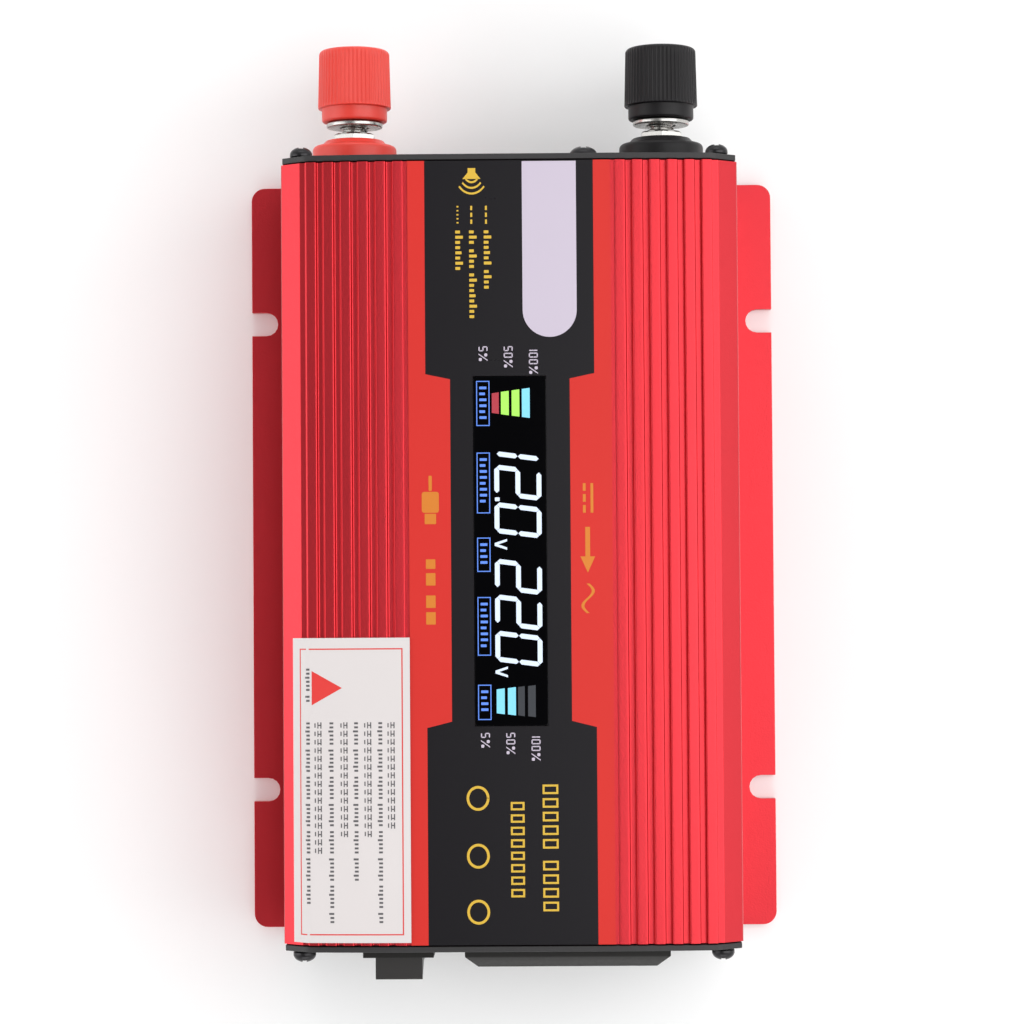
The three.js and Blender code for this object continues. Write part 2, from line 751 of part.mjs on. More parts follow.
function makeFan() {
  const group = groupAt(fanX, caseLength / 2 - panelThickness - gap, fanZ);
  const through = [-fanDepth - 1, 1];
  const bearing = fanShaftRadius + gap;
  let frame = bar(fanSize, fanSize, 0, 0, [-fanDepth, 0])
    .subtract(rod(fanBore, [0, through[0], 0], [0, through[1], 0], 40));
  const strutRange = [-fanDepth, -fanDepth + fanStrut.depth];
  frame = frame
    .add(bar(fanStrut.width, fanBore * 2 + 1, 0, 0, strutRange))
    .add(bar(fanBore * 2 + 1, fanStrut.width, 0, 0, strutRange))
    .add(rod(fanHubRadius, [0, strutRange[0], 0], [0, strutRange[1], 0]))
    .subtract(rod(bearing, [0, through[0], 0], [0, through[1], 0], 16));
  for (const [x, z] of fanHoles()) {
    frame = frame.subtract(rod(fanScrewRadius + gap, [x, through[0], z], [x, through[1], z], 12));
  }
  add(group, 'fan_frame', frame, plasticBlack);

  const hubBack = strutRange[1] + turnGap;
  const hubFront = -turnGap * 1.5;
  const bladeY = (hubBack + hubFront) / 2;
  let impeller = rod(fanHubRadius, [0, hubBack, 0], [0, hubFront, 0])
    .add(rod(fanShaftRadius, [0, strutRange[0], 0], [0, hubFront - 1, 0], 16));
  const bladeTip = Math.sqrt((fanBore - turnGap) ** 2 - (fanBlade.chord / 2) ** 2);
  for (let blade = 0; blade < fanBladeCount; blade += 1) {
    const geometry = new THREE.BoxGeometry(bladeTip - fanHubRadius + 1, fanBlade.thickness, fanBlade.chord);
    geometry.translate((bladeTip + fanHubRadius - 1) / 2, 0, 0);
    const angle = 360 * blade / fanBladeCount;
    const vane = solid(geometry).rotate([fanBlade.pitch, 0, 0]).rotate([0, angle, 0]);
    impeller = impeller.add(vane.translate([0, bladeY, 0]));
  }
  add(group, 'fan_impeller', impeller, plasticBlack);

  // Two screws hold the fan, on one diagonal.
  for (const [name, sign] of [['upper', 1], ['lower', -1]]) {
    const place = groupAt(fanX + sign * fanHoleSpacing / 2, caseLength / 2, fanZ + sign * fanHoleSpacing / 2);
    const body = screw(1, fanScrewHeadRadius, fanScrewHeadHeight, fanScrewRadius, fanDepth);
    add(place, `fan_screw_${name}`, body, screwBlack);
  }
}

// ---- Binding posts -----------------------------------------------------------------------------

function makePost(pole, look) {
  const group = groupAt(postX[pole], caseLength / 2, postZ);
  const pocket = nutFlats / 2 / Math.cos(Math.PI / 6) + gap * 1.5;
  const base = turned([
    [boreClearance, -panelThickness],
    [studPanelRadius, -panelThickness],
    [studPanelRadius, gap],
    [postFlangeRadius, gap],
    [postFlangeRadius, postShoulder],
    [postFlangeRadius - 0.8, postRimHeight - 0.5],
    [postConeRadius + 0.9, postRimHeight],
    [postConeRadius, postTop],
    [pocket, postTop],
    [pocket, nutBottom - gap],
    [boreClearance, nutBottom - gap],
    [boreClearance, -panelThickness],
  ]);
  add(group, `${pole}_post_base`, base, look);

  const insulatorFront = -panelThickness - gap;
  const insulatorBack = insulatorFront - backInsulatorThickness;
  const backNutFront = insulatorBack - gap;
  const backNutBack = backNutFront - backNutThickness;
  const lugFront = backNutBack - gap;
  const lugBack = lugFront - lugThickness;
  const insulator = ring(boreClearance, backInsulatorRadius, insulatorBack, insulatorFront, 24);
  add(group, `${pole}_back_insulator`, insulator, look);
  add(group, `${pole}_stud`, rod(studRadius, [0, -studBack, 0], [0, studFront, 0], 20), nickel);
  add(group, `${pole}_collar_nut`, nut(nutFlats, boreClearance, nutBottom, nutTop), nickel);
  add(group, `${pole}_back_nut`, nut(backNutFlats, boreClearance, backNutBack, backNutFront), nickel);

  const washer = ring(boreClearance, washerRadius, washerBottom, washerBottom + washerThickness, 24);
  add(group, `${pole}_washer`, washer, nickel);

  const knobBottom = washerBottom + washerThickness + gap;
  const knob = turned([
    [boreClearance, knobBottom],
    [knobSkirtRadius - 0.8, knobBottom],
    [knobSkirtRadius, knobBottom + 0.8],
    [knobSkirtRadius, knobSkirtTop],
    [knobRadius, knobSkirtTop],
    [knobTipRadius, knobTop - knobDome],
    [knobTipRadius * 0.86, knobTop - knobDome * 0.4],
    [0, knobTop],
    [0, knobBoreEnd],
    [boreClearance, knobBoreEnd],
    [boreClearance, knobBottom],
  ]);
  add(group, `${pole}_knob`, knob, look);

  // Ring lug with its lead, bent down and forward to the main board.
  const leadY = lugFront - leadRadius;
  const landing = boardTop + gap + leadRadius - postZ;
  const boardEdge = boardRear - caseLength / 2;
  const lead = new THREE.CatmullRomCurve3([
    new THREE.Vector3(0, leadY, -lugRadius + 0.5),
    new THREE.Vector3(0, leadY, -lugRadius - 2.2),
    new THREE.Vector3(0, (leadY + boardEdge) / 2, landing + 1.2),
    new THREE.Vector3(0, boardEdge - 2, landing),
    new THREE.Vector3(0, boardEdge - 7, landing),
  ]);
  const section = new THREE.Shape();
  section.absarc(0, 0, leadRadius, 0, Math.PI * 2, false);
  const tube = new THREE.ExtrudeGeometry(section, { steps: 14, curveSegments: 4, extrudePath: lead });
  const lug = ring(boreClearance, lugRadius, lugBack, lugFront, 24).add(solid(tube));
  add(group, `${pole}_lead`, lug, look);
}

// ---- Electronics -------------------------------------------------------------------------------

// An upright can on the main board, with a small bead near its foot.
function can(radius, height) {
  const profile = [
    [0, 0],
    [radius, 0],
    [radius, height - 0.6],
    [radius - 0.6, height],
    [0, height],
  ];
  return turned(profile, 24).rotate([90, 0, 0]);
}

function makeElectronics() {
  const floor = boardTop + gap;
  const boardEdge = innerX - gap;
  const board = box([-boardEdge, boardEdge], [boardFront, boardRear], [boardBottom, boardTop]);
  add(part, 'main_board', board, boardGreen);

  const coil = groupAt(transformer.x, (boardFront + boardRear) / 2, floor);
  const { width, depth, height, leg, window, yoke, overhang } = transformer;
  const windowRange = [yoke, height - yoke];
  let core = box([-width / 2, width / 2], [-depth / 2, depth / 2], [0, height]);
  for (const side of [-1, 1]) {
    const edges = [side * leg / 2, side * (leg / 2 + window)].sort((a, b) => a - b);
    core = core.subtract(box(edges, [-depth, depth], windowRange));
  }
  add(coil, 'transformer_core', core, ferrite);
  const outerX = leg / 2 + window - gap;
  const outerY = depth / 2 + overhang;
  const heights = [windowRange[0] + gap, windowRange[1] - gap];
  const winding = box([-outerX, outerX], [-outerY, outerY], heights)
    .subtract(box([-leg / 2 - gap, leg / 2 + gap], [-depth / 2 - gap, depth / 2 + gap], [0, height]));
  add(coil, 'transformer_winding', winding, copperTape);

  const inputX = inputCapacitor.fromClamp + inputCapacitor.radius - clampFaceX;
  for (let index = 0; index < 2; index += 1) {
    const y = boardRear - inputCapacitor.fromRear - index * inputCapacitor.pitch;
    const body = can(inputCapacitor.radius, inputCapacitor.height);
    add(groupAt(inputX, y, floor), `input_capacitor_${index + 1}`, body, plasticBlack);
  }
  const busY = boardFront + busCapacitor.fromFront;
  const busCan = can(busCapacitor.radius, busCapacitor.height);
  add(groupAt(busCapacitor.x, busY, floor), 'bus_capacitor', busCan, plasticBlack);
  const chokeY = busY + busCapacitor.radius + choke.radius + choke.spacing;
  const chokeRing = ring(choke.hole, choke.radius, 0, choke.height, 24).rotate([90, 0, 0]);
  add(groupAt(choke.x, chokeY, floor), 'output_choke', chokeRing, copperTape);
  const buzzerY = boardRear - buzzer.fromRear;
  add(groupAt(buzzer.x, buzzerY, floor), 'alarm_buzzer', can(buzzer.radius, buzzer.height), plasticBlack);

  // Three flat-pack transistors on each side, under one clamp bar.
  const sides = { left: -1, right: 1 };
  for (const [side, sign] of Object.entries(sides)) {
    const group = groupAt(0, (boardFront + boardRear) / 2, floor);
    const span = (near, far) => [sign * near, sign * far].sort((a, b) => a - b);
    const back = innerX - gap;
    const face = back - transistor.thickness;
    const reach = (transistor.count - 1) * transistor.pitch / 2 + transistor.width / 2;
    const barZ = transistor.lift + transistor.height / 2;
    const barRange = [barZ - clampBar.height / 2, barZ + clampBar.height / 2];
    let bank = box(span(clampFaceX, face + 1), [-reach, reach], barRange);
    for (let index = 0; index < transistor.count; index += 1) {
      const y = (index - (transistor.count - 1) / 2) * transistor.pitch;
      const body = [y - transistor.width / 2, y + transistor.width / 2];
      bank = bank.add(box(span(face, back), body, [transistor.lift, transistor.lift + transistor.height]));
      for (const offset of [-transistorLeg.pitch, 0, transistorLeg.pitch]) {
        const leg = [y + offset - transistorLeg.width / 2, y + offset + transistorLeg.width / 2];
        bank = bank.add(box(span(face, face + transistorLeg.width), leg, [0, transistor.lift + 1]));
      }
    }
    add(group, `transistor_bank_${side}`, bank, plasticBlack);
  }
}

makeCover();
makeTray();
makeFrontPanel();
makeRearPanel();
makePanelScrews();
makeLabelAndDisplay();
makeSticker();
makeSocket();
makeSwitch();
makeUsb();
makeIndicators();
makeFan();
makePost('positive', plasticRed);
makePost('negative', plasticBlack);
makeElectronics();

export default part;
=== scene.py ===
# Power inverter: a red anodised case with black end panels, a printed face label with a display,
# two binding posts at the back, and a mains socket, a rocker switch and a USB port at the front.
import math

import bmesh
import bpy
import numpy as np
from mathutils import Matrix, Vector


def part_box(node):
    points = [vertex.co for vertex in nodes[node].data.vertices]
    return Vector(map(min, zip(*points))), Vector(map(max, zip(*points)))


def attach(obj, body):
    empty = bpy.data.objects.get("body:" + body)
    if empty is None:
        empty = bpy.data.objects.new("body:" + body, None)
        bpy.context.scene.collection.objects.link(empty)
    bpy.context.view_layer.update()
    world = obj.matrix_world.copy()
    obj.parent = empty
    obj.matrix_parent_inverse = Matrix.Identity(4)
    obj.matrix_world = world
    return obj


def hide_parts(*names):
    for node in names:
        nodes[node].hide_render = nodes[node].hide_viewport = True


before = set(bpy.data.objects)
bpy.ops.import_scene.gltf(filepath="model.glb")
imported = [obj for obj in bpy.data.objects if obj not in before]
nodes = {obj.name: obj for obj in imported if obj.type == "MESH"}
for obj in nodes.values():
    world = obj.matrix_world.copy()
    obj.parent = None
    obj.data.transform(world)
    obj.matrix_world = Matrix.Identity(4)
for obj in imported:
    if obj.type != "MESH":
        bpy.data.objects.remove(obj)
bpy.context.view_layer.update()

# ---- Cover ----------------------------------------------------------------------------------------
# The cover is one aluminium extrusion, bead blasted and anodised red. Six rounded ribs run down each
# shoulder beside the flat seat of the label, a plain band leads to the side, and the seat is cut
# through for the display.

mm = 0.001
cover_low, cover_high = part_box("top_cover")
cover_end = cover_high.y / mm
side_x = cover_high.x / mm
cover_bottom = cover_low.z / mm
seat_x, crown_z, seat_step = 22.3, 54.0, 0.5
shoulder_radius, rib_count, groove_width, groove_depth = 200.0, 6, 1.4, 1.0
band_width, band_drop = 4.2, 3.2
side_wall, cover_wall = 2.5, 2.2
side_groove_count, side_groove_width, side_groove_depth = 4, 1.6, 0.8
window_x, window_y, window_half = -0.1, 0.1, (7.9, 37.0)


def shoulder_point(arc, depth):
    """A point on the shoulder's circle, an arc length from the seat's edge and a depth below the rib tops."""
    angle = np.asarray(arc) / shoulder_radius
    radius = shoulder_radius - np.asarray(depth)
    return np.stack([seat_x + radius * np.sin(angle),
                     crown_z - shoulder_radius + radius * np.cos(angle)], -1)


def rounded(corners, radii, steps=4, closed=False):
    """A line of corners with each one turned into an arc: the arc leaves each side at the radius times
    the tangent of half the turn, cut short where a side is too small, and bows as a parabola between."""
    corners = np.asarray(corners, float)
    radii = np.broadcast_to(np.asarray(radii, float), len(corners)).copy()
    if not closed:
        radii[[0, -1]] = 0
    before, after = np.roll(corners, 1, 0) - corners, np.roll(corners, -1, 0) - corners
    back, on = (np.maximum(np.linalg.norm(v, axis=1), 1e-9) for v in (before, after))
    cosine = np.clip((before * after).sum(1) / back / on, -1, 1)
    reach = radii * np.tan((np.pi - np.arccos(cosine)) / 2)
    reach = np.minimum(reach, np.minimum(back, on) * 0.48)
    first = corners + before / back[:, None] * reach[:, None]
    last = corners + after / on[:, None] * reach[:, None]
    t = np.linspace(0, 1, steps + 1)[None, :, None]
    arcs = (1 - t) ** 2 * first[:, None] + 2 * t * (1 - t) * corners[:, None] + t ** 2 * last[:, None]
    points = arcs.reshape(-1, corners.shape[1])
    keep = np.linalg.norm(points - np.roll(points, 1, 0), axis=1) > 1e-6
    keep[0] = True
    return points[keep]


def grid_faces(rows, columns, wrap_rows=False, wrap_columns=False):
    """Quads between neighbouring rows and columns of points numbered row by row."""
    r = np.arange(rows if wrap_rows else rows - 1)[:, None]
    c = np.arange(columns if wrap_columns else columns - 1)[None, :]
    r1, c1 = (r + 1) % rows, (c + 1) % columns
    corners = [r * columns + c, r * columns + c1, r1 * columns + c1, r1 * columns + c]
    return np.stack(corners, -1).reshape(-1, 4)


def closed_piece(name, points, faces, sharp=35):
    """An object from points in millimetres and a list of faces. Points that meet are merged, faces are
    turned outwards, and edges that turn more than the sharp angle stay crisp."""
    mesh = bpy.data.meshes.new(name)
    metres = np.asarray(points, float).reshape(-1, 3) * mm
    mesh.from_pydata(metres.tolist(), [], [list(map(int, face)) for face in faces])
    build = bmesh.new()
    build.from_mesh(mesh)
    bmesh.ops.remove_doubles(build, verts=build.verts, dist=2e-7)
    bmesh.ops.dissolve_degenerate(build, edges=build.edges, dist=1e-8)
    bmesh.ops.recalc_face_normals(build, faces=build.faces)
    build.to_mesh(mesh)
    build.free()
    mesh.polygons.foreach_set("use_smooth", np.ones(len(mesh.polygons), bool))
    mesh.set_sharp_from_angle(angle=math.radians(sharp))
    piece = bpy.data.objects.new(name, mesh)
    bpy.context.scene.collection.objects.link(piece)
    return piece


def fitted(piece, look, body, slot, *cad_nodes):
    """Gives a piece its material, the body it rides on and the CAD nodes it stands for. The slot is not used.
    """
    piece.data.materials.clear()
    piece.data.materials.append(look)
    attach(piece, body)
    if cad_nodes:
        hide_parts(*cad_nodes)
    return piece


def even_normals(piece):
    """Keeps the broad faces flat in the light beside small rounded edges."""
    weighted = piece.modifiers.new("even_normals", "WEIGHTED_NORMAL")
    weighted.keep_sharp = True
    weighted.weight = 80


shoulder_angle = math.asin((side_x - seat_x - band_width) / (shoulder_radius - groove_depth))
rib_pitch = shoulder_angle * shoulder_radius / rib_count
land = rib_pitch - groove_width
starts = np.arange(rib_count) * rib_pitch
rib_arcs = (starts[:, None] + np.array([0, 0.33 * land, 0.67 * land, land, land, rib_pitch])).ravel()
rib_depths = np.tile([0, 0, 0, 0, groove_depth, groove_depth], rib_count)
ribs = shoulder_point(rib_arcs, rib_depths)
band_low_z = ribs[-1, 1] - band_drop
side_pitch = (band_low_z - cover_bottom) / (side_groove_count + 1)
side_middles = band_low_z - side_pitch * np.arange(1, side_groove_count + 1)
side_x_steps = side_x - side_groove_depth * np.array([0, 1, 1, 0])
side_z_steps = side_groove_width / 2 * np.array([1, 1, -1, -1])
side_corners = np.stack([np.tile(side_x_steps, side_groove_count),
                         (side_middles[:, None] + side_z_steps).ravel()], -1)
outside = np.vstack([[[seat_x, crown_z - seat_step]], ribs, [[side_x, band_low_z]], side_corners,
                     [[side_x, cover_bottom]]])
outside_radii = np.concatenate([[0.1], np.tile([0.3, 0, 0, 0.3, 0.35, 0.35], rib_count), [0.9],
                                np.full(len(side_corners), 0.15), [0]])
outside_radii[len(ribs)] = 0.5
outside = rounded(outside, outside_radii, 4)
inner_x = side_x - side_wall
ceiling = groove_depth + cover_wall
inside = np.vstack([[[inner_x, cover_bottom], [inner_x, band_low_z - 0.3]],
                    shoulder_point(np.linspace(0.94, 0, 5) * shoulder_angle * shoulder_radius, ceiling)])
window_edges = np.array([window_x - window_half[0], window_x + window_half[0]])
flip = np.array([-1.0, 1.0])
seat_row = np.stack([window_edges, np.full(2, crown_z - seat_step)], -1)
ceiling_row = np.stack([window_edges[::-1], np.full(2, crown_z - ceiling)], -1)
loop = np.vstack([outside[::-1] * flip, seat_row, outside, inside, ceiling_row, (inside * flip)[::-1]])
left_seat = len(outside)
right_ceiling = left_seat + 2 + len(outside) + len(inside)
stations = np.array([-cover_end, window_y - window_half[1], window_y + window_half[1], cover_end])
cover_points = np.stack([np.broadcast_to(loop[:, 0], (4, len(loop))),
                         np.broadcast_to(stations[:, None], (4, len(loop))),
                         np.broadcast_to(loop[:, 1], (4, len(loop)))], -1)
cover_faces = grid_faces(4, len(loop), wrap_columns=True)
open_faces = len(loop) + np.array([left_seat, right_ceiling])
cover_faces = np.delete(cover_faces, open_faces, 0).tolist()
near, far = len(loop), 2 * len(loop)
a, b, c, d = left_seat, left_seat + 1, right_ceiling, right_ceiling + 1
cover_faces += [[near + a, far + a, far + d, near + d], [near + b, near + c, far + c, far + b],
                [near + a, near + d, near + c, near + b], [far + a, far + b, far + c, far + d],
                list(range(len(loop)))[::-1], list(range(3 * len(loop), 4 * len(loop)))]
cover = closed_piece("cover_extrusion", cover_points, cover_faces)
even_normals(cover)


def add_node(tree, kind, operation=None, **values):
    """Adds a shader node, with an operation and plain input values. A label's spaces are underscores."""
    node = tree.nodes.new("ShaderNode" + kind)
    if operation:
        node.operation = operation
    for label, value in values.items():
        node.inputs[label.replace("_", " ")].default_value = value
    return node


def wired(tree, *rows):
    """Links nodes: each row is a node, its output, the next node and its input."""
    for start, output, end, socket in rows:
        tree.links.new(start.outputs[output], end.inputs[socket])


def shared_group(name, inputs, outputs):
    """A node group with named number or vector inputs and number outputs, and its two end nodes."""
    group = bpy.data.node_groups.new(name, "ShaderNodeTree")
    for label, value in inputs.items():
        kind = "NodeSocketVector" if isinstance(value, tuple) else "NodeSocketFloat"
        group.interface.new_socket(label, in_out="INPUT", socket_type=kind).default_value = value
    for label in outputs:
        group.interface.new_socket(label, in_out="OUTPUT", socket_type="NodeSocketFloat")
    return group, group.nodes.new("NodeGroupInput"), group.nodes.new("NodeGroupOutput")


# Grain: a fine noise over the piece's own coordinates, stretched where a finish has a direction. Value
# runs from 0 to 1, and Height is the same noise with a coarser one under it.
grain_group, ends_in, ends_out = shared_group(
    "surface_grain", {"Scale": 1500.0, "Stretch": (1.0, 1.0, 1.0), "Coarse": 0.3}, ["Value", "Height"])
place = add_node(grain_group, "TexCoord")
stretch = add_node(grain_group, "Mapping")
fine = add_node(grain_group, "TexNoise", Detail=3.0)
coarse = add_node(grain_group, "TexNoise", Detail=2.0)
smaller = add_node(grain_group, "Math", "MULTIPLY")
smaller.inputs[1].default_value = 0.12
under = add_node(grain_group, "Math", "MULTIPLY_ADD")
wired(grain_group, (place, "Object", stretch, "Vector"), (ends_in, "Stretch", stretch, "Scale"),
      (stretch, "Vector", fine, "Vector"), (ends_in, "Scale", fine, "Scale"),
      (ends_in, "Scale", smaller, 0), (stretch, "Vector", coarse, "Vector"),
      (smaller, 0, coarse, "Scale"), (coarse, "Fac", under, 0), (ends_in, "Coarse", under, 1),
      (fine, "Fac", under, 2), (fine, "Fac", ends_out, "Value"), (under, 0, ends_out, "Height"))

# Handling: broad soft clouds with thin scratches through them, which make a touched surface shinier in
# places. Cloud and Scratch are masks from 0 to 1.
handling_group, ends_in, ends_out = shared_group(
    "handling_marks", {"Size": 22.0, "Direction": (1.0, 9.0, 1.0)}, ["Cloud", "Scratch"])
place = add_node(handling_group, "TexCoord")
cloud = add_node(handling_group, "TexNoise", Detail=4.0)
slant = add_node(handling_group, "Mapping", Rotation=(0.3, 0.2, 0.7))
scratch = add_node(handling_group, "TexNoise", Scale=60.0, Detail=5.0)
thin = add_node(handling_group, "MapRange", From_Min=0.66, From_Max=0.74)
wired(handling_group, (place, "Object", cloud, "Vector"), (ends_in, "Size", cloud, "Scale"),
      (place, "Object", slant, "Vector"), (ends_in, "Direction", slant, "Scale"),
      (slant, "Vector", scratch, "Vector"), (scratch, "Fac", thin, "Value"),
      (cloud, "Fac", ends_out, "Cloud"), (thin, "Result", ends_out, "Scratch"))


def finish(name, colour, rough, metallic=0.0, scale=1500.0, stretch=(1.0, 1.0, 1.0), depth=0.02, relief=0.25,
           shade=0.12, spread=0.10, shine=0.06, coarse=0.3, **sockets):
    """A surface of one base colour that clouds darken and lighten by the shade, with grain that spreads
    the roughness and lifts the surface by the depth in millimetres. Other sockets take plain values."""
    look = bpy.data.materials.new(name)
    look.use_nodes = True
    tree = look.node_tree
    shader = tree.nodes["Principled BSDF"]
    shader.inputs["Metallic"].default_value = metallic
    for label, value in sockets.items():
        shader.inputs[label.replace("_", " ")].default_value = value
    marks, grain = add_node(tree, "Group"), add_node(tree, "Group")
    marks.node_tree, grain.node_tree = handling_group, grain_group
    for label, value in (("Scale", scale), ("Stretch", stretch), ("Coarse", coarse)):
        grain.inputs[label].default_value = value
    tint = add_node(tree, "Mix")
    tint.data_type = "RGBA"
    for label, factor in (("A", 1 - shade), ("B", 1 + shade)):
        tint.inputs[label].default_value = (*np.clip(np.array(colour) * factor, 0, 1), 1)
    spreads = add_node(tree, "MapRange", To_Min=rough - spread, To_Max=rough + spread)
    polish = add_node(tree, "Math", "MULTIPLY_ADD")
    polish.inputs[1].default_value = -shine
    bump = add_node(tree, "Bump", Strength=relief, Distance=depth * mm)
    wired(tree, (marks, "Cloud", tint, "Factor"), (tint, "Result", shader, "Base Color"),
          (grain, "Value", spreads, "Value"), (marks, "Scratch", polish, 0), (spreads, "Result", polish, 2),
          (polish, 0, shader, "Roughness"), (grain, "Height", bump, "Height"),
          (bump, "Normal", shader, "Normal"))
    return look


anodised_red = finish("anodised_red", (0.60, 0.019, 0.030), 0.37, 1.0, 2600.0, (1.0, 1.0, 1.0), 0.05, 0.7,
                      0.06, 0.08, 0.04, Coat_Weight=0.5, Coat_Roughness=0.35)
fitted(cover, anodised_red, "case", "anodised", "top_cover")

# ---- Tray -----------------------------------------------------------------------------------------
# The tray is a second red anodised extrusion: a shallow channel with a flange along each side. Its
# slots are milled, its corners are rounded, and every edge is broken by the blasting.


def eased_copy(node, width, segments=2, bend=40, sharp=60):
    """A copy of a CAD node with its corners merged, its flat faces joined, and every edge that turns
    more than the bend rounded to a width in millimetres."""
    source = nodes[node].data
    source.calc_loop_triangles()
    points = np.empty(len(source.vertices) * 3)
    source.vertices.foreach_get("co", points)
    faces = np.empty(len(source.loop_triangles) * 3, int)
    source.loop_triangles.foreach_get("vertices", faces)
    copy = closed_piece(node + "_eased", points / mm, faces.reshape(-1, 3), sharp)
    build = bmesh.new()
    build.from_mesh(copy.data)
    bmesh.ops.dissolve_limit(build, angle_limit=math.radians(1), verts=build.verts, edges=build.edges)
    bmesh.ops.triangulate(build, faces=[f for f in build.faces if len(f.verts) > 4], ngon_method="BEAUTY")
    build.to_mesh(copy.data)
    build.free()
    ease = copy.modifiers.new("eased_edges", "BEVEL")
    ease.width = width * mm
    ease.segments = segments
    ease.limit_method = "ANGLE"
    ease.angle_limit = math.radians(bend)
    ease.miter_outer = "MITER_ARC"
    even_normals(copy)
    return copy


tray = eased_copy("bottom_tray", 0.22, 3)
fitted(tray, anodised_red, "case", "anodised", "bottom_tray")

# ---- End panels -----------------------------------------------------------------------------------
# Two punched steel sheets, powder coated black, close the ends. The coat is satin, with a fine orange
# peel, and it rounds the punched edges.

powder_black = finish("powder_black", (0.018, 0.017, 0.018), 0.5, 0.0, 900.0, depth=0.05, relief=0.5,
                      shade=0.2, spread=0.1, coarse=0.8)
for node in ("front_panel", "rear_panel"):
    fitted(eased_copy(node, 0.12), powder_black, "case", "panel", node)

# ---- Panel and fan screws -------------------------------------------------------------------------
# Blackened steel screws with a domed head and a cross recess hold the panels and the fan. The head is
# cold formed, so its rim is soft, and the thread runs into the screw tubes.

screw_black = finish("screw_black", (0.035, 0.034, 0.036), 0.3, 0.85, 1200.0, depth=0.02, relief=0.3,
                     shade=0.3)
recess_arm, recess_reach, recess_depth = 0.42, 1.55, 1.3


def screw_points(middle, out, head_radius, head_height, shank_radius, shank_length):
    """A screw along Y: a lathe profile from the shank's tip to the middle of the head. Over the head,
    two crossing bars with smooth edges, deeper towards the middle, push the surface in."""
    t = np.linspace(0, 1, 22)
    turns = np.arange(96) / 96 * 2 * np.pi
    thread = np.linspace(0, 1, 60)
    shank_r = shank_radius - 0.12 + 0.12 * np.cos(thread * shank_length / 0.5 * 2 * np.pi)
    shank_y = -shank_length + thread * (shank_length + 0.25)
    rim = rounded([[shank_radius, 0.3], [head_radius, 0.3], [head_radius, head_height * 0.35]], 0.3, 3)
    dome_r = head_radius * np.cos(t * np.pi / 2)
    dome_y = head_height * (0.35 + 0.65 * np.sin(t * np.pi / 2))
    r = np.concatenate([[0], shank_r, rim[:, 0], dome_r])
    y = np.concatenate([[-shank_length], shank_y, rim[:, 1], dome_y])
    x, z = r[:, None] * np.cos(turns), r[:, None] * np.sin(turns)
    size = head_radius / 2.4
    arm, reach = recess_arm * size, recess_reach * size
    near = np.minimum(np.maximum(abs(x) - arm, abs(z) - reach), np.maximum(abs(z) - arm, abs(x) - reach))
    deeper = np.clip(1.25 - np.hypot(x, z) / reach, 0.1, 1)
    pit = np.clip(-near / 0.12 + 0.5, 0, 1) * recess_depth * size * deeper
    on_head = (np.arange(len(r)) >= len(r) - len(dome_r))[:, None]
    y = y[:, None] - np.where(on_head, pit, 0)
    return np.stack([middle[0] + x, middle[1] + out * y, middle[2] + z], -1)


screw_sizes = {"panel_screw": (2.4, 2.6, 1.15, 9.0), "fan_screw": (3.0, 2.9, 1.4, 10.0)}
for node in sorted(n for n in nodes if "_screw_" in n):
    low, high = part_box(node)
    out = -1 if low.y < 0 else 1
    middle = ((low.x + high.x) / 2 / mm, out * cover_end + out * 1.5, (low.z + high.z) / 2 / mm)
    points = screw_points(middle, out, *screw_sizes[node[:node.index("_screw_") + 6]])
    screw = closed_piece(node + "_turned", points, grid_faces(*points.shape[:2], wrap_columns=True), 40)
    fitted(screw, screw_black, "case", "black_screw", node)

# ---- Face label -----------------------------------------------------------------------------------
# A printed polycarbonate film lies on the seat, black with red margins. Its print is laid down in thin
# flat areas: the margins, a pale strip, the scale numbers and plain signs.

label_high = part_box("face_label")[1]
label_x, label_y, label_z = label_high.x / mm, label_high.y / mm, label_high.z / mm
ink = 0.03
wide_margin, narrow_margin = 17.8, 12.6
rear_step, front_step = (37.4, 36.3), (-37.0, -35.7)
strip_middle, strip_half_width, strip_end = 8.5, 5.7, 50.8


def bar_outline(x0, x1, y0, y1, radius=0.0, steps=5):
    """A rectangle between two values of x and two of y, with rounded corners."""
    corners = [[x0, y0], [x1, y0], [x1, y1], [x0, y1]]
    return rounded(corners, radius, steps, closed=True) if radius else np.array(corners, float)


def printed(name, outlines, low, high):
    """Thin flat areas: each closed outline of x and y points becomes a slab between two heights."""
    points, faces, base = [], [], 0
    for outline in outlines:
        outline = np.asarray(outline, float)
        count = len(outline)
        points += [np.column_stack([outline, np.full(count, z)]) for z in (low, high)]
        ring = np.arange(count)
        on = (ring + 1) % count
        faces += [(base + ring[::-1]).tolist(), (base + count + ring).tolist()]
        faces += (base + np.stack([ring, on, on + count, ring + count], -1)).tolist()
        base += 2 * count
    return closed_piece(name, np.vstack(points), faces, 20)


def sideways(outline, x, y):
    """Turns an outline a quarter clockwise and moves it: its right becomes -Y and its top +X."""
    outline = np.asarray(outline, float)
    return np.stack([x + outline[:, 1], y - outline[:, 0]], -1)


def label_print(name, outlines, look, layer=0):
    """Print on the label, one ink thickness high, on the film or on a layer of ink below it."""
    low = label_z + layer * ink
    fitted(printed(name, outlines, low, low + ink), look, "case", "label")


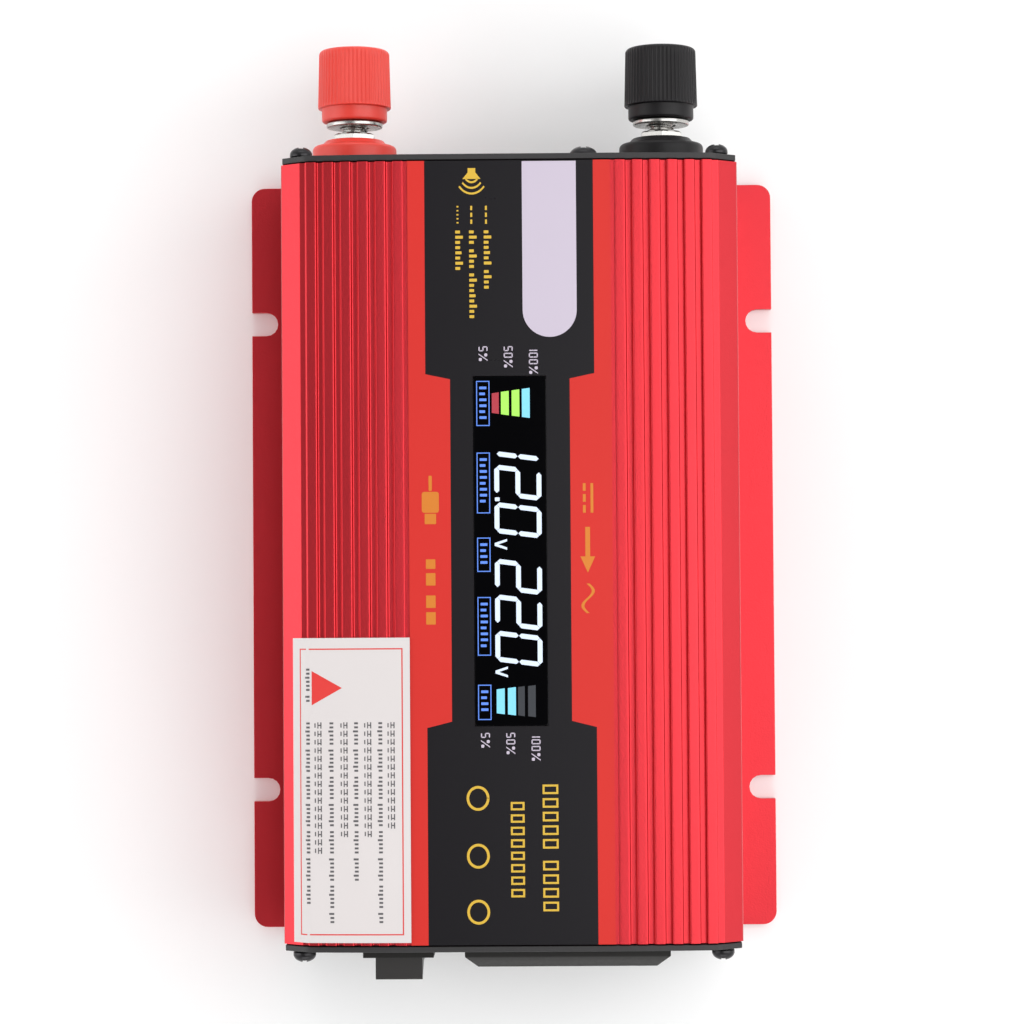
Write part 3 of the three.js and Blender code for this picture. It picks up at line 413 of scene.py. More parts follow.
label_black = finish("label_black", (0.006, 0.005, 0.007), 0.34, 0.0, 2600.0, depth=0.01, relief=0.15,
                     shade=0.1, spread=0.05, Specular_IOR_Level=0.2)
label_red = finish("label_red", (0.58, 0.024, 0.018), 0.4, 0.0, 2600.0, depth=0.01, relief=0.15,
                   shade=0.05, spread=0.05, Specular_IOR_Level=0.25)
label_pale = finish("label_pale", (0.52, 0.46, 0.555), 0.4, 0.0, 2600.0, depth=0.01, relief=0.15, shade=0.04)
label_gold = finish("label_gold", (0.62, 0.39, 0.03), 0.4, 0.0, 2600.0, depth=0.01, relief=0.15,
                    shade=0.06)
label_orange = finish("label_orange", (0.60, 0.18, 0.008), 0.4, 0.0, 2600.0, depth=0.01, relief=0.15,
                      shade=0.06)
nodes["face_label"].data.materials.clear()
nodes["face_label"].data.materials.append(label_black)

margins = []
for side in (-1, 1):
    inner = [[wide_margin, label_y], [wide_margin, rear_step[0]], [narrow_margin, rear_step[1]],
             [narrow_margin, front_step[1]], [wide_margin, front_step[0]], [wide_margin, -label_y]]
    outline = np.array([[label_x, -label_y], [label_x, label_y], *inner])
    margins.append(outline * [side, 1])
label_print("label_margins", margins, label_red)

strip_turn = np.linspace(np.pi, 2 * np.pi, 25)
strip_round = np.stack([strip_middle + strip_half_width * np.cos(strip_turn),
                        strip_end + strip_half_width * np.sin(strip_turn)], -1)
strip = np.vstack([[[strip_middle - strip_half_width, label_y - 0.2]], strip_round,
                   [[strip_middle + strip_half_width, label_y - 0.2]]])
label_print("label_strip", [strip], label_pale)

# Scale numbers by the two gauges. A digit is drawn on a grid of strokes one unit wide and one and a half
# high: the middle of each stroke, and whether it runs across.
stroke_places = {"top": (0.5, 1.5, True), "middle": (0.5, 0.75, True), "bottom": (0.5, 0, True),
                 "upper left": (0, 1.125, False), "upper right": (1, 1.125, False),
                 "lower left": (0, 0.375, False), "lower right": (1, 0.375, False)}
digit_strokes = {"0": "top,bottom,upper left,upper right,lower left,lower right",
                 "1": "upper right,lower right",
                 "2": "top,upper right,middle,lower left,bottom",
                 "5": "top,upper left,middle,lower right,bottom"}


def digit_outlines(digit, width, height, weight, gap=0.0, lean=0.0):
    """The strokes of a digit in millimetres from its lower left corner: each stroke is a bar with
    pointed ends, across or up, shortened by the gap and sheared by the lean."""
    shapes = []
    for stroke in digit_strokes[digit].split(","):
        u, v, across = stroke_places[stroke]
        centre = [u * (width - weight) + weight / 2, v / 1.5 * (height - weight) + weight / 2]
        half = ((width - weight) if across else (height - weight) / 2) / 2 - gap
        w = weight / 2
        tip = np.array([[-half - w * 0.6, 0], [-half + w * 0.4, -w], [half - w * 0.4, -w],
                        [half + w * 0.6, 0], [half - w * 0.4, w], [-half + w * 0.4, w]])
        points = centre + (tip if across else -tip[:, ::-1])
        points[:, 0] += points[:, 1] * lean
        shapes.append(points)
    return shapes


scale_digit_width, scale_digit_height, scale_weight, scale_pitch = 1.05, 1.9, 0.24, 1.4
percent_dot, percent_reach, percent_line = 0.65, 0.9, 0.25
scale_marks = []
for x, text in ((-5.6, "5"), (-0.3, "50"), (5.0, "100")):
    base_x = x - scale_digit_height / 2
    for y in (43.2, -38.1):
        for place, digit in enumerate(text):
            shapes = digit_outlines(digit, scale_digit_width, scale_digit_height, scale_weight)
            scale_marks += [sideways(shape + [place * scale_pitch, 0], base_x, y) for shape in shapes]
        sign_y = y - scale_pitch * len(text) - 0.1
        near_y, far_y = sign_y - 1.6, sign_y
        slash = [[0, 0], [percent_line, 0], [1.6, scale_digit_height],
                 [1.6 - percent_line, scale_digit_height]]
        scale_marks += [bar_outline(x - percent_reach, x - percent_reach + percent_dot,
                                    near_y, near_y + percent_dot, 0.25),
                        bar_outline(x + percent_reach - percent_dot, x + percent_reach,
                                    far_y - percent_dot, far_y, 0.25),
                        sideways(slash, base_x, sign_y)]
label_print("label_scales", scale_marks, label_pale)

# Orange print on the margins: signs for direct and alternating current with an arrow between them, and a
# plug sign and four bars for the USB port. It lies on top of the red.
direct_sign = [bar_outline(0, 6.2, 2.6, 3.2)] + [bar_outline(u, u + 1.6, 1.0, 1.6) for u in (0, 2.3, 4.6)]
arrow = [[0, 1.55], [6.2, 1.55], [6.2, 0.5], [9.6, 2.05], [6.2, 3.6], [6.2, 2.55], [0, 2.55]]
wave_length, wave_half_line = 6.2, 0.33
wave_u = np.linspace(0, wave_length, 33)
wave_v = 2.05 + 1.1 * np.sin(wave_u / wave_length * 2 * np.pi)
wave = np.vstack([np.stack([wave_u, wave_v + wave_half_line], -1),
                  np.stack([wave_u, wave_v - wave_half_line], -1)[::-1]])
plug_sign = [bar_outline(3.0, 7.4, 0.3, 3.9, 0.6), bar_outline(7.6, 9.8, 0.9, 3.3, 0.2),
             bar_outline(-0.4, 2.8, 1.75, 2.45, 0.3)]
port_bars = [bar_outline(u, u + width, 0.6, 2.6, 0.15)
             for u, width in ((0, 2.0), (2.9, 2.6), (7.6, 2.6), (11.1, 2.6))]
sign_places = ((direct_sign, 14.2, 14.2), ([arrow], 14.1, 5.0), ([wave], 14.1, -6.9),
               (plug_sign, -19.0, 15.6), (port_bars, -18.5, -1.6))
margin_signs = [sideways(shape, x, y) for shapes, x, y in sign_places for shape in shapes]
label_print("label_margin_signs", margin_signs, label_orange, 1)

# Gold print on the black: plain open boxes where a title would be, and three plain rings.


def open_box(x0, x1, y0, y1, line):
    """The four bars of a thin rectangular outline."""
    return [bar_outline(x0, x1, y0, y0 + line), bar_outline(x0, x1, y1 - line, y1),
            bar_outline(x0, x0 + line, y0 + line, y1 - line),
            bar_outline(x1 - line, x1, y0 + line, y1 - line)]


def ring_halves(outer, inner):
    """A ring as two half bands, from its outer and inner radii across and up."""
    half_turn = np.linspace(0, np.pi, 25)
    return [np.vstack([np.stack([outer[0] * np.cos(a), outer[1] * np.sin(a)], -1),
                       np.stack([inner[0] * np.cos(a), inner[1] * np.sin(a)], -1)[::-1]])
            for a in (half_turn, half_turn + np.pi)]


title_line, title_gap, title_space = 0.42, 0.85, 1.7
gold_marks = []
for words, x, y, width, height in (((5, 4), 6.3, -49.0, 2.0, 3.3), ((8,), -0.4, -52.6, 1.75, 2.9)):
    across = 0.0
    for boxes in words:
        for _ in range(boxes):
            letter = open_box(across, across + width, 0, height, title_line)
            gold_marks += [sideways(bar, x, y) for bar in letter]
            across += width + title_gap
        across += title_space
for y in (-51.8, -63.9, -75.6):
    gold_marks += [half + [-7.25, y] for half in ring_halves((2.4, 2.6), (1.85, 2.05))]
label_print("label_title", gold_marks, label_gold)

# More gold print: a plain speaker sign and three rows of marks and small bars.
speaker_x, speaker_y, speaker_middle = -9.9, 80.9, 2.1
cone = [[0, 1.3], [0.9, 1.3], [2.3, 0.2], [2.3, 4.0], [0.9, 2.9], [0, 2.9]]
notes = [sideways(cone, speaker_x, speaker_y)]
bow = np.linspace(-0.85, 0.85, 13)
for radius in (2.3, 3.5, 4.7):
    band = [np.stack([0.9 + r * np.cos(turn), speaker_middle + r * np.sin(turn) * 0.78], -1)
            for r, turn in ((radius, bow), (radius - 0.42, bow[::-1]))]
    notes.append(sideways(np.vstack(band), speaker_x, speaker_y))
marks_start, words_start, letter_pitch, letter_width, low_half = 72.9, 67.7, 1.1, 0.62, 0.5
letter_halves = (0.5, 0.8, 0.5, 0.5, 0.65)
for x, marks, words in ((-4.8, (0.9,) * 3, (7.2, 4.0)), (-7.9, (0.9,) * 3, (3.0, 4.0, 9.8)),
                        (-10.8, (0.3,) * 5, (9.2,))):
    y = marks_start
    for length in marks:
        notes.append(sideways(bar_outline(0, length, -0.2, 0.2), x, y))
        y -= length + 0.55
    y = words_start
    for word in words:
        for place in range(round(word / letter_pitch)):
            top = 2 * letter_halves[place % 5] - low_half
            notes.append(sideways(bar_outline(0, letter_width, -low_half, top, 0.1), x, y))
            y -= letter_pitch
        y -= 0.7
label_print("label_notes", notes, label_gold)

# ---- Display --------------------------------------------------------------------------------------
# A clear lens over a dark liquid crystal panel lies flush with the label. The panel shows a voltage in
# seven-stroke digits, two small gauges and outlined captions.

lens_low, lens_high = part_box("display_lens")
lens_z = lens_high.z / mm
lens_black = finish("lens_black", (0.0012, 0.0012, 0.0016), 0.07, 0.0, 600.0, depth=0.004, relief=0.1,
                    shade=0.3, spread=0.03, shine=0.02, Specular_IOR_Level=0.04)
lens_line = bar_outline(lens_low.x / mm, lens_high.x / mm, lens_low.y / mm, lens_high.y / mm, 0.7)
lens = printed("display_window", [lens_line], lens_low.z / mm, lens_z)
lens_edge = lens.modifiers.new("eased_edges", "BEVEL")
lens_edge.width = 0.08 * mm
lens_edge.segments = 2
lens_edge.angle_limit = math.radians(60)
fitted(lens, lens_black, "case", "lens", "display_lens")
glass = finish("display_glass", (0.03, 0.035, 0.05), 0.12, 0.0, 400.0, shade=0.3, spread=0.04)
nodes["display_glass"].data.materials.clear()
nodes["display_glass"].data.materials.append(glass)


def lit(name, colour, strength):
    """A display colour: a dim body colour that glows, with clouds that let the glow vary a little."""
    look = finish(name, np.array(colour) * 0.4, 0.25, 0.0, 2600.0, depth=0.005, relief=0.1, shade=0.1,
                  spread=0.04, Emission_Strength=strength)
    tree = look.node_tree
    glow = tree.nodes.new("ShaderNodeMix")
    glow.data_type = "RGBA"
    glow.inputs["A"].default_value = (*(np.array(colour) * 0.85), 1)
    glow.inputs["B"].default_value = (*colour, 1)
    grain = next(n for n in tree.nodes if n.type == "GROUP" and n.node_tree == grain_group)
    tree.links.new(grain.outputs["Value"], glow.inputs["Factor"])
    tree.links.new(glow.outputs["Result"], tree.nodes["Principled BSDF"].inputs["Emission Color"])
    return look


def display_print(name, outlines, look):
    """A lit layer of the display, drawn on the lens."""
    fitted(printed(name, outlines, lens_z, lens_z + ink), look, "case", "display")


digit_height, digit_width, digit_weight, digit_gap = 9.9, 6.5, 1.02, 0.34
digit_x, lean = -3.4, 0.13
shown = []
for digit, y in (("1", 26.6), ("2", 18.3), ("0", 10.4), ("2", -1.5), ("2", -9.0), ("0", -16.6)):
    strokes = digit_outlines(digit, digit_width, digit_height, digit_weight, digit_gap, lean)
    shown += [sideways(stroke, digit_x, y) for stroke in strokes]
decimal_point = bar_outline(-0.45, 0.35, 0, 1.0, 0.2)
unit_sign = [[0, 2.6], [0.5, 2.6], [1.15, 0.75], [1.8, 2.6], [2.3, 2.6], [1.45, 0], [0.85, 0]]
shown.append(sideways(decimal_point, digit_x + 0.1, 10.9))
shown += [sideways(unit_sign, digit_x, y) for y in (2.6, -24.2)]
display_print("display_digits", shown, lit("display_white", (0.72, 0.83, 1.0), 0.75))

# The gauges: bars that widen to the right, each with slanted ends. A bar is two values of x, half its
# length at the first, and the middle y.
rear_gauge, front_gauge, slant = 31.2, -31.5, 0.22
for name, colour, strength, bars in (
        ("display_red", (0.42, 0.03, 0.05), 0.8, [(-3.83, -2.35, 2.05, rear_gauge)]),
        ("display_green", (0.36, 0.80, 0.10), 0.9,
         [(-1.9, -0.25, 2.35, rear_gauge), (0.36, 1.98, 2.65, rear_gauge)]),
        ("display_cyan", (0.20, 0.62, 0.80), 0.9,
         [(2.5, 4.16, 2.95, rear_gauge), (-3.2, -1.5, 2.5, front_gauge), (-0.84, 0.84, 2.75, front_gauge)]),
        ("display_dim", (0.035, 0.04, 0.05), 0.5,
         [(1.3, 2.7, 2.95, front_gauge), (3.4, 5.0, 3.15, front_gauge)])):
    shapes = [np.array([[x0, y - half], [x1, y - half - slant], [x1, y + half + slant], [x0, y + half]])
              for x0, x1, half, y in bars]
    display_print(name, shapes, lit(name, colour, strength))

# The captions: thin outlines round short bars.
caption_low, caption_high, caption_line, caption_pitch = -7.1, -4.3, 0.2, 1.25
captions = []
for y1, y0 in ((35.9, 26.4), (20.8, 8.0), (2.9, -4.3), (-9.6, -21.9), (-28.0, -35.4)):
    captions += open_box(caption_low, caption_high, y0, y1, caption_line)
    for place in range(int((y1 - y0 - 1.6) / caption_pitch)):
        top = y1 - 1.2 - caption_pitch * place
        captions.append(bar_outline(-6.45, -4.95 - (place % 3 == 1) * 0.3, top - 0.55, top, 0.1))
display_print("display_captions", captions, lit("display_blue", (0.10, 0.24, 0.80), 0.9))

# ---- Sticker --------------------------------------------------------------------------------------
# A white vinyl sticker is pressed over the left ribs and bent on to the band. It has a thin red frame,
# a plain red triangle and rows of grey bars, printed in the same thin flat way but along the bend.

sticker_low, sticker_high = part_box("info_sticker")
sticker_front, sticker_rear = sticker_low.y / mm, sticker_high.y / mm
sticker_rise, sticker_thickness = 0.12, 0.25
rib_end = shoulder_angle * shoulder_radius - groove_width
band_line = np.array([ribs[-1], [side_x, band_low_z]])
band_run = band_line[1] - band_line[0]
band_normal = np.array([-band_run[1], band_run[0]]) / np.linalg.norm(band_run)
sticker_arcs = np.linspace(-0.9, rib_end, 13)
sticker_angles = sticker_arcs / shoulder_radius
sticker_turn = np.vstack([shoulder_point(sticker_arcs, 0), band_line[0] + band_run * 0.2,
                          band_line[0] + band_run * 0.4])
sticker_normals = np.vstack([np.stack([np.sin(sticker_angles), np.cos(sticker_angles)], -1),
                             band_normal, band_normal])
sticker_arc = np.concatenate([[0], np.cumsum(np.linalg.norm(np.diff(sticker_turn, axis=0), axis=1))])


def on_sticker(s, y, rise):
    """Points over the sticker's line: s runs outwards along the bent line from the label's edge, y along
    the case, and the rise is along the line's normal. The side is mirrored to the left shoulder."""
    s, y, rise = np.broadcast_arrays(np.asarray(s, float), y, rise)
    x, z = (np.interp(s, sticker_arc, sticker_turn[:, k])
            + rise * np.interp(s, sticker_arc, sticker_normals[:, k]) for k in (0, 1))
    return np.stack([-x, y, z], -1)


def sticker_area(s0, s1, y0, y1, low, high, steps=28):
    """A closed slab over the sticker between two values of s and two of y: a grid of four corners of the
    section carried along s."""
    s = np.linspace(s0, s1, steps)[:, None]
    y, rise = np.array([y0, y1, y1, y0]), np.array([low, low, high, high])
    points = on_sticker(s, y[None, :], rise[None, :])
    ends = [[3, 2, 1, 0], list(range(4 * steps - 4, 4 * steps))]
    return points.reshape(-1, 3), grid_faces(steps, 4, wrap_columns=True).tolist() + ends


def on_sticker_piece(name, areas, low, high):
    """One piece of several such slabs."""
    points, faces, base = [], [], 0
    for area in areas:
        made, quads = sticker_area(*area, low, high)
        points.append(made)
        faces += [[base + v for v in quad] for quad in quads]
        base += len(made)
    return closed_piece(name, np.vstack(points), faces, 40)


vinyl = finish("vinyl_white", (0.64, 0.60, 0.595), 0.42, 0.0, 1200.0, depth=0.02, relief=0.3, shade=0.05)
print_red = finish("sticker_red", (0.66, 0.035, 0.030), 0.45, 0.0, 1200.0, depth=0.02, relief=0.2,
                   shade=0.08)
print_grey = finish("sticker_grey", (0.10, 0.095, 0.10), 0.45, 0.0, 1200.0, depth=0.02, relief=0.2,
                    shade=0.1)
sticker_top = sticker_rise + sticker_thickness
sheet_area = [(0.0, sticker_arc[-1], sticker_front, sticker_rear)]
sticker = on_sticker_piece("sticker_sheet", sheet_area, sticker_rise, sticker_top)
fitted(sticker, vinyl, "case", "sticker", "info_sticker")
sticker_ink = 0.02
print_top = sticker_top + sticker_ink
s0, s1, y0, y1, line = 1.5, 23.6, sticker_front + 1.6, sticker_rear - 2.2, 0.26
edges = [(s0, s1, y0, y0 + line), (s0, s1, y1 - line, y1), (s0, s0 + line, y0 + line, y1 - line),
         (s1 - line, s1, y0 + line, y1 - line)]
fitted(on_sticker_piece("sticker_frame", edges, sticker_top, print_top), print_red, "case", "sticker")

# The triangle: a slab whose two sides of y close in to a narrow tip along s.
apex_s, base_s, middle_y, half_y, steps = 14.3, 20.7, sticker_rear - 10.5, 3.6, 13
rows_up = np.linspace(0, 1, steps)[:, None]
narrowed = half_y * (1 - rows_up) * np.where(rows_up < 1, 1, 0.02)
sides_y = middle_y + narrowed * np.array([-1, 1, 1, -1])
triangle_rise = np.array([[sticker_top, sticker_top, print_top, print_top]])
triangle = on_sticker(base_s + (apex_s - base_s) * rows_up, sides_y, triangle_rise)
triangle_faces = grid_faces(steps, 4, wrap_columns=True).tolist()
triangle_faces += [[3, 2, 1, 0], list(range(4 * steps - 4, 4 * steps))]
triangle_piece = closed_piece("sticker_triangle", triangle.reshape(-1, 3), triangle_faces, 40)
fitted(triangle_piece, print_red, "case", "sticker")

# The rows: tall ones of four small bars to a sign, and low ones of single bars with gaps between words.
rows_start = -35.7
tall_ends = ((4.0, -58.4), (8.9, -59.5), (13.9, -60.5), (19.4, -63.7))
low_ends = ((6.3, -78.4), (11.4, -70.0), (16.6, -78.4), (21.6, -74.2))
lines = [(s, True, rows_start, end) for s, end in tall_ends]
lines += [(s, False, rows_start, end) for s, end in low_ends]
lines.append((21.6, False, -24.4, -32.2))
text_rows = []
for s, tall, y, end in lines:
    place = 0
    while y - 0.7 > end:
        if tall:
            shift = place % 3 * 0.15
            text_rows += [(s - 0.75, s - 0.5, y - 1.3, y), (s - 0.1, s + 0.12, y - 1.3, y),
                          (s + 0.5, s + 0.75, y - 1.1, y - 0.2),
                          (s - 0.5, s - 0.1, y - 0.75 - shift, y - 0.5 - shift)]
            y -= 1.75
        else:
            text_rows.append((s - 0.45, s + (0.35, 0.35, 0.6, 0.35)[place % 4], y - 0.42, y))
            y -= 0.85 + (place % 6 == 5) * 0.6
        place += 1
fitted(on_sticker_piece("sticker_rows", text_rows, sticker_top, print_top), print_grey, "case", "sticker")

# ---- Mains socket ---------------------------------------------------------------------------------
# A black nylon outlet snaps into the front panel. Its face is moulded in one piece with a sloping rim,
# fits several plugs, and has brass spring contacts behind the openings.

nylon_black = finish("nylon_black", (0.013, 0.012, 0.011), 0.44, 0.0, 1300.0, depth=0.03, relief=0.4,
                     shade=0.12, spread=0.08, coarse=0.6, Specular_IOR_Level=0.28)
brass = finish("brass", (0.72, 0.48, 0.17), 0.3, 1.0, 900.0, (1.0, 6.0, 1.0), 0.01, 0.3, 0.12, 0.08)
socket = eased_copy("socket_housing", 0.35, 3)
fitted(socket, nylon_black, "case", "black_plastic", "socket_housing")
for node in ("live_contact", "neutral_contact", "earth_contact"):
    fitted(eased_copy(node, 0.15), brass, "case", "brass", node)

# ---- Rocker switch --------------------------------------------------------------------------------
# A snap-in switch with a thick bezel. The rocker is one moulding that turns on two pins, and it wears a
# bright satin from fingers. A bar and a ring mark its two faces.

fitted(eased_copy("switch_housing", 0.45, 3), nylon_black, "case", "black_plastic", "switch_housing")
rocker_black = finish("rocker_black", (0.026, 0.024, 0.023), 0.34, 0.0, 1500.0, depth=0.02, relief=0.3,
                      shade=0.15)
fitted(eased_copy("switch_rocker", 0.4, 3), rocker_black, "rocker", "black_plastic", "switch_rocker")


def on_face(piece, face_set):
    """Moves a flat piece's mesh on to a set of faces: their area gives the middle and the normal, across
    stays along X, and up runs up the face."""
    area = sum(f.area for f in face_set)
    middle = sum((f.center * f.area for f in face_set), Vector()) / area
    normal = sum((f.normal * f.area for f in face_set), Vector()).normalized()
    across = Vector((1, 0, 0))
    up = normal.cross(across)
    piece.data.transform(Matrix((across, up, normal)).transposed().to_4x4())
    piece.data.transform(Matrix.Translation(middle))
    return piece


switch_white = finish("switch_white", (0.58, 0.57, 0.55), 0.45, 0.0, 1500.0, depth=0.01, relief=0.2,
                      shade=0.1)
low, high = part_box("switch_rocker")
outward = [f for f in nodes["switch_rocker"].data.polygons if f.normal.y < -0.8]
valley_z = (low.z + high.z) / 2
above = [f for f in outward if f.center.z > valley_z]
below = [f for f in outward if f.center.z <= valley_z]
for name, shapes, part in (("switch_bar", [bar_outline(-0.22, 0.22, -1.6, 1.6, 0.1)], above),
                           ("switch_ring", ring_halves((1.5, 1.5), (1.1, 1.1)), below)):
    fitted(on_face(printed(name, shapes, -0.02, 0.03), part), switch_white, "rocker", "label")

# ---- USB port and indicators ----------------------------------------------------------------------
# The port's shell is stamped and folded from nickelled steel round a plastic tongue. Two lens-ended
# light-emitting diodes beside the switch show power and a fault.

nickel = finish("nickel", (0.74, 0.72, 0.69), 0.2, 1.0, 700.0, (1.0, 1.0, 1.0), 0.01, 0.25, 0.06, 0.07)
tongue_white = finish("tongue_white", (0.62, 0.60, 0.56), 0.45, 0.0, 1200.0, depth=0.02, relief=0.3)
fitted(eased_copy("usb_shell", 0.1), nickel, "case", "nickel", "usb_shell")
fitted(eased_copy("usb_tongue", 0.12), tongue_white, "case", "component", "usb_tongue")

turns = np.arange(96) / 96 * 2 * np.pi


def turned_piece(name, profile, middle, sharp=35, angles=turns, ripple=None):
    """A profile of radius and y carried round the Y axis through a middle point. Where it starts and ends
    on the axis it closes in a point. The ripple is added to the radius, by point and angle."""
    profile = np.asarray(profile, float)
    r = profile[:, :1] + (0 if ripple is None else ripple)
    y = np.broadcast_to(profile[:, 1:], (len(profile), len(angles)))
    points = np.stack([middle[0] + r * np.cos(angles), middle[1] + y, middle[2] + r * np.sin(angles)], -1)
    ring = np.allclose(profile[0], profile[-1])
    if ring:
        points = points[:-1]
    faces = grid_faces(*points.shape[:2], wrap_rows=ring, wrap_columns=True)
    return closed_piece(name, points, faces, sharp)


led_radius, led_flange = 1.5, 2.4
for node, colour, slot_name in (("power_indicator", (0.05, 0.55, 0.16), "green_lens"),
                                ("fault_indicator", (0.62, 0.03, 0.02), "red_lens")):
    low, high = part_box(node)
    led_x, led_z = (low.x + high.x) / 2 / mm, (low.z + high.z) / 2 / mm
    led_front, led_back = low.y / mm, high.y / mm
    dome = np.linspace(0, np.pi / 2, 12)
    body = [[led_radius, led_front + 1.4], [led_radius, led_front + 2.85], [led_flange, led_front + 2.85],
            [led_flange, led_front + 3.85], [led_radius, led_front + 3.85], [led_radius, led_back],
            [0, led_back]]
    profile = np.vstack([np.stack([led_radius * np.sin(dome), led_front + 1.35 * (1 - np.cos(dome))], -1),
                         rounded(body, 0.08, 3)])
    look = finish(node + "_lens", colour, 0.12, 0.0, 500.0, depth=0.004, relief=0.1, shade=0.25,
                  spread=0.04, Coat_Weight=0.6, Coat_Roughness=0.05)
    lens_piece = turned_piece(node + "_lens", profile, (led_x, 0, led_z), 35, turns[::2])
    fitted(lens_piece, look, "case", slot_name, node)

# ---- Fan ------------------------------------------------------------------------------------------
# A 40 mm fan in glass-filled black plastic sits behind the rear grille. Its frame is moulded square, and
# seven twisted blades grow out of a cupped hub. The paper disc on the hub is not drawn.

fan_black = finish("fan_black", (0.022, 0.022, 0.024), 0.46, 0.0, 800.0, depth=0.05, relief=0.5,
                   shade=0.2, coarse=0.6)
fitted(eased_copy("fan_frame", 0.25), fan_black, "case", "black_plastic", "fan_frame")
low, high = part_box("fan_impeller")
fan_x, fan_z = 0.0, 27.0
hub_radius, blade_tip, blade_count = 8.5, 17.2, 7
hub_back, hub_front = low.y / mm, high.y / mm
hub_line = rounded([[0, hub_back], [1.0, hub_back], [1.0, hub_back + 2.7], [hub_radius, hub_back + 2.7],
                    [hub_radius, hub_front], [0, hub_front]], [0, 0.1, 0, 0.4, 1.0, 0], 5)
hub = turned_piece("impeller_hub", hub_line, (fan_x, 0, fan_z))
fitted(hub, fan_black, "impeller", "black_plastic", "fan_impeller")
span_steps, chord_steps = 14, 32
span = np.linspace(0, 1, span_steps)[:, None]
chord = np.linspace(0, 2 * np.pi, chord_steps + 1)[:-1]
half_chord = 3.9
blade_r = hub_radius - 0.6 + (blade_tip - hub_radius + 0.6) * span
along, thick = half_chord * np.cos(chord), 0.42 * np.sin(chord)
camber = 0.7 * (1 - (along / half_chord) ** 2)
pitch = np.radians(50 - 16 * span)
blade_mid = (hub_back + 2.7 + hub_front) / 2
blade_u = along * np.cos(pitch) - (thick + camber) * np.sin(pitch)
blade_y = blade_mid + along * np.sin(pitch) * 0.93 + (thick + camber) * np.cos(pitch)
blade_y = np.clip(blade_y, hub_back + 2.7, hub_front - 0.1)
sweep = 0.25 * span ** 2
blade_size = span_steps * chord_steps
blade_ends = [list(range(chord_steps))[::-1], list(range(blade_size - chord_steps, blade_size))]
blade_faces = grid_faces(span_steps, chord_steps, wrap_columns=True).tolist() + blade_ends
blade_points, all_faces = [], []
for blade in range(blade_count):
    angle = blade / blade_count * 2 * np.pi + sweep + blade_u / blade_r
    blade_points.append(np.stack([fan_x + blade_r * np.cos(angle), blade_y,
                                  fan_z + blade_r * np.sin(angle)], -1))
    all_faces += [[blade * blade_size + v for v in face] for face in blade_faces]
blades = closed_piece("impeller_blades", np.stack(blade_points), all_faces, 50)
fitted(blades, fan_black, "impeller", "black_plastic")

# ---- Binding posts --------------------------------------------------------------------------------
# Each post has a moulded insulating base with a hexagonal collar nut in its pocket, an M6 stud, a loose
# washer, and a fluted knob that screws on to the stud. One set is red and the other black.

red_plastic = finish("red_plastic", (0.76, 0.050, 0.034), 0.38, 0.0, 1100.0, depth=0.02, relief=0.3,
                     shade=0.04, spread=0.07, coarse=0.5)
post_black = finish("post_black", (0.009, 0.008, 0.009), 0.42, 0.0, 1100.0, depth=0.02, relief=0.3, shade=0.1,
                    spread=0.07, coarse=0.5, Specular_IOR_Level=0.25)
steel_turned = finish("steel_turned", (0.50, 0.49, 0.47), 0.27, 1.0, 600.0, (1.0, 14.0, 1.0), 0.008,
                      0.35, 0.05, 0.07)
flute_count = 54
knob_turns = np.arange(flute_count * 8) / (flute_count * 8) * 2 * np.pi
nut_turns = np.arange(144) / 144 * 2 * np.pi
post_end = cover_end + 1.5
bore, nut_flats, skirt_radius, foot_radius, head_radius = 3.25, 8.6, 7.15, 7.85, 7.72
foot_y, crown_y = 13.8, 25.6


def hexagon_ripple(angles, flats, radius):
    """How far a point at a radius moves to lie on or inside a hexagon: the lesser of the radius and the
    distance to the flat in that direction, less the radius."""
    flat = flats / 2 / np.cos((angles + np.pi / 6) % (np.pi / 3) - np.pi / 6)
    return np.minimum(radius, flat) - radius


def closed_line(corners, radii, steps):
    """A closed profile with rounded corners, whose last point is its first again."""
    line = rounded(corners, radii, steps, closed=True)
    return np.vstack([line, line[:1]])


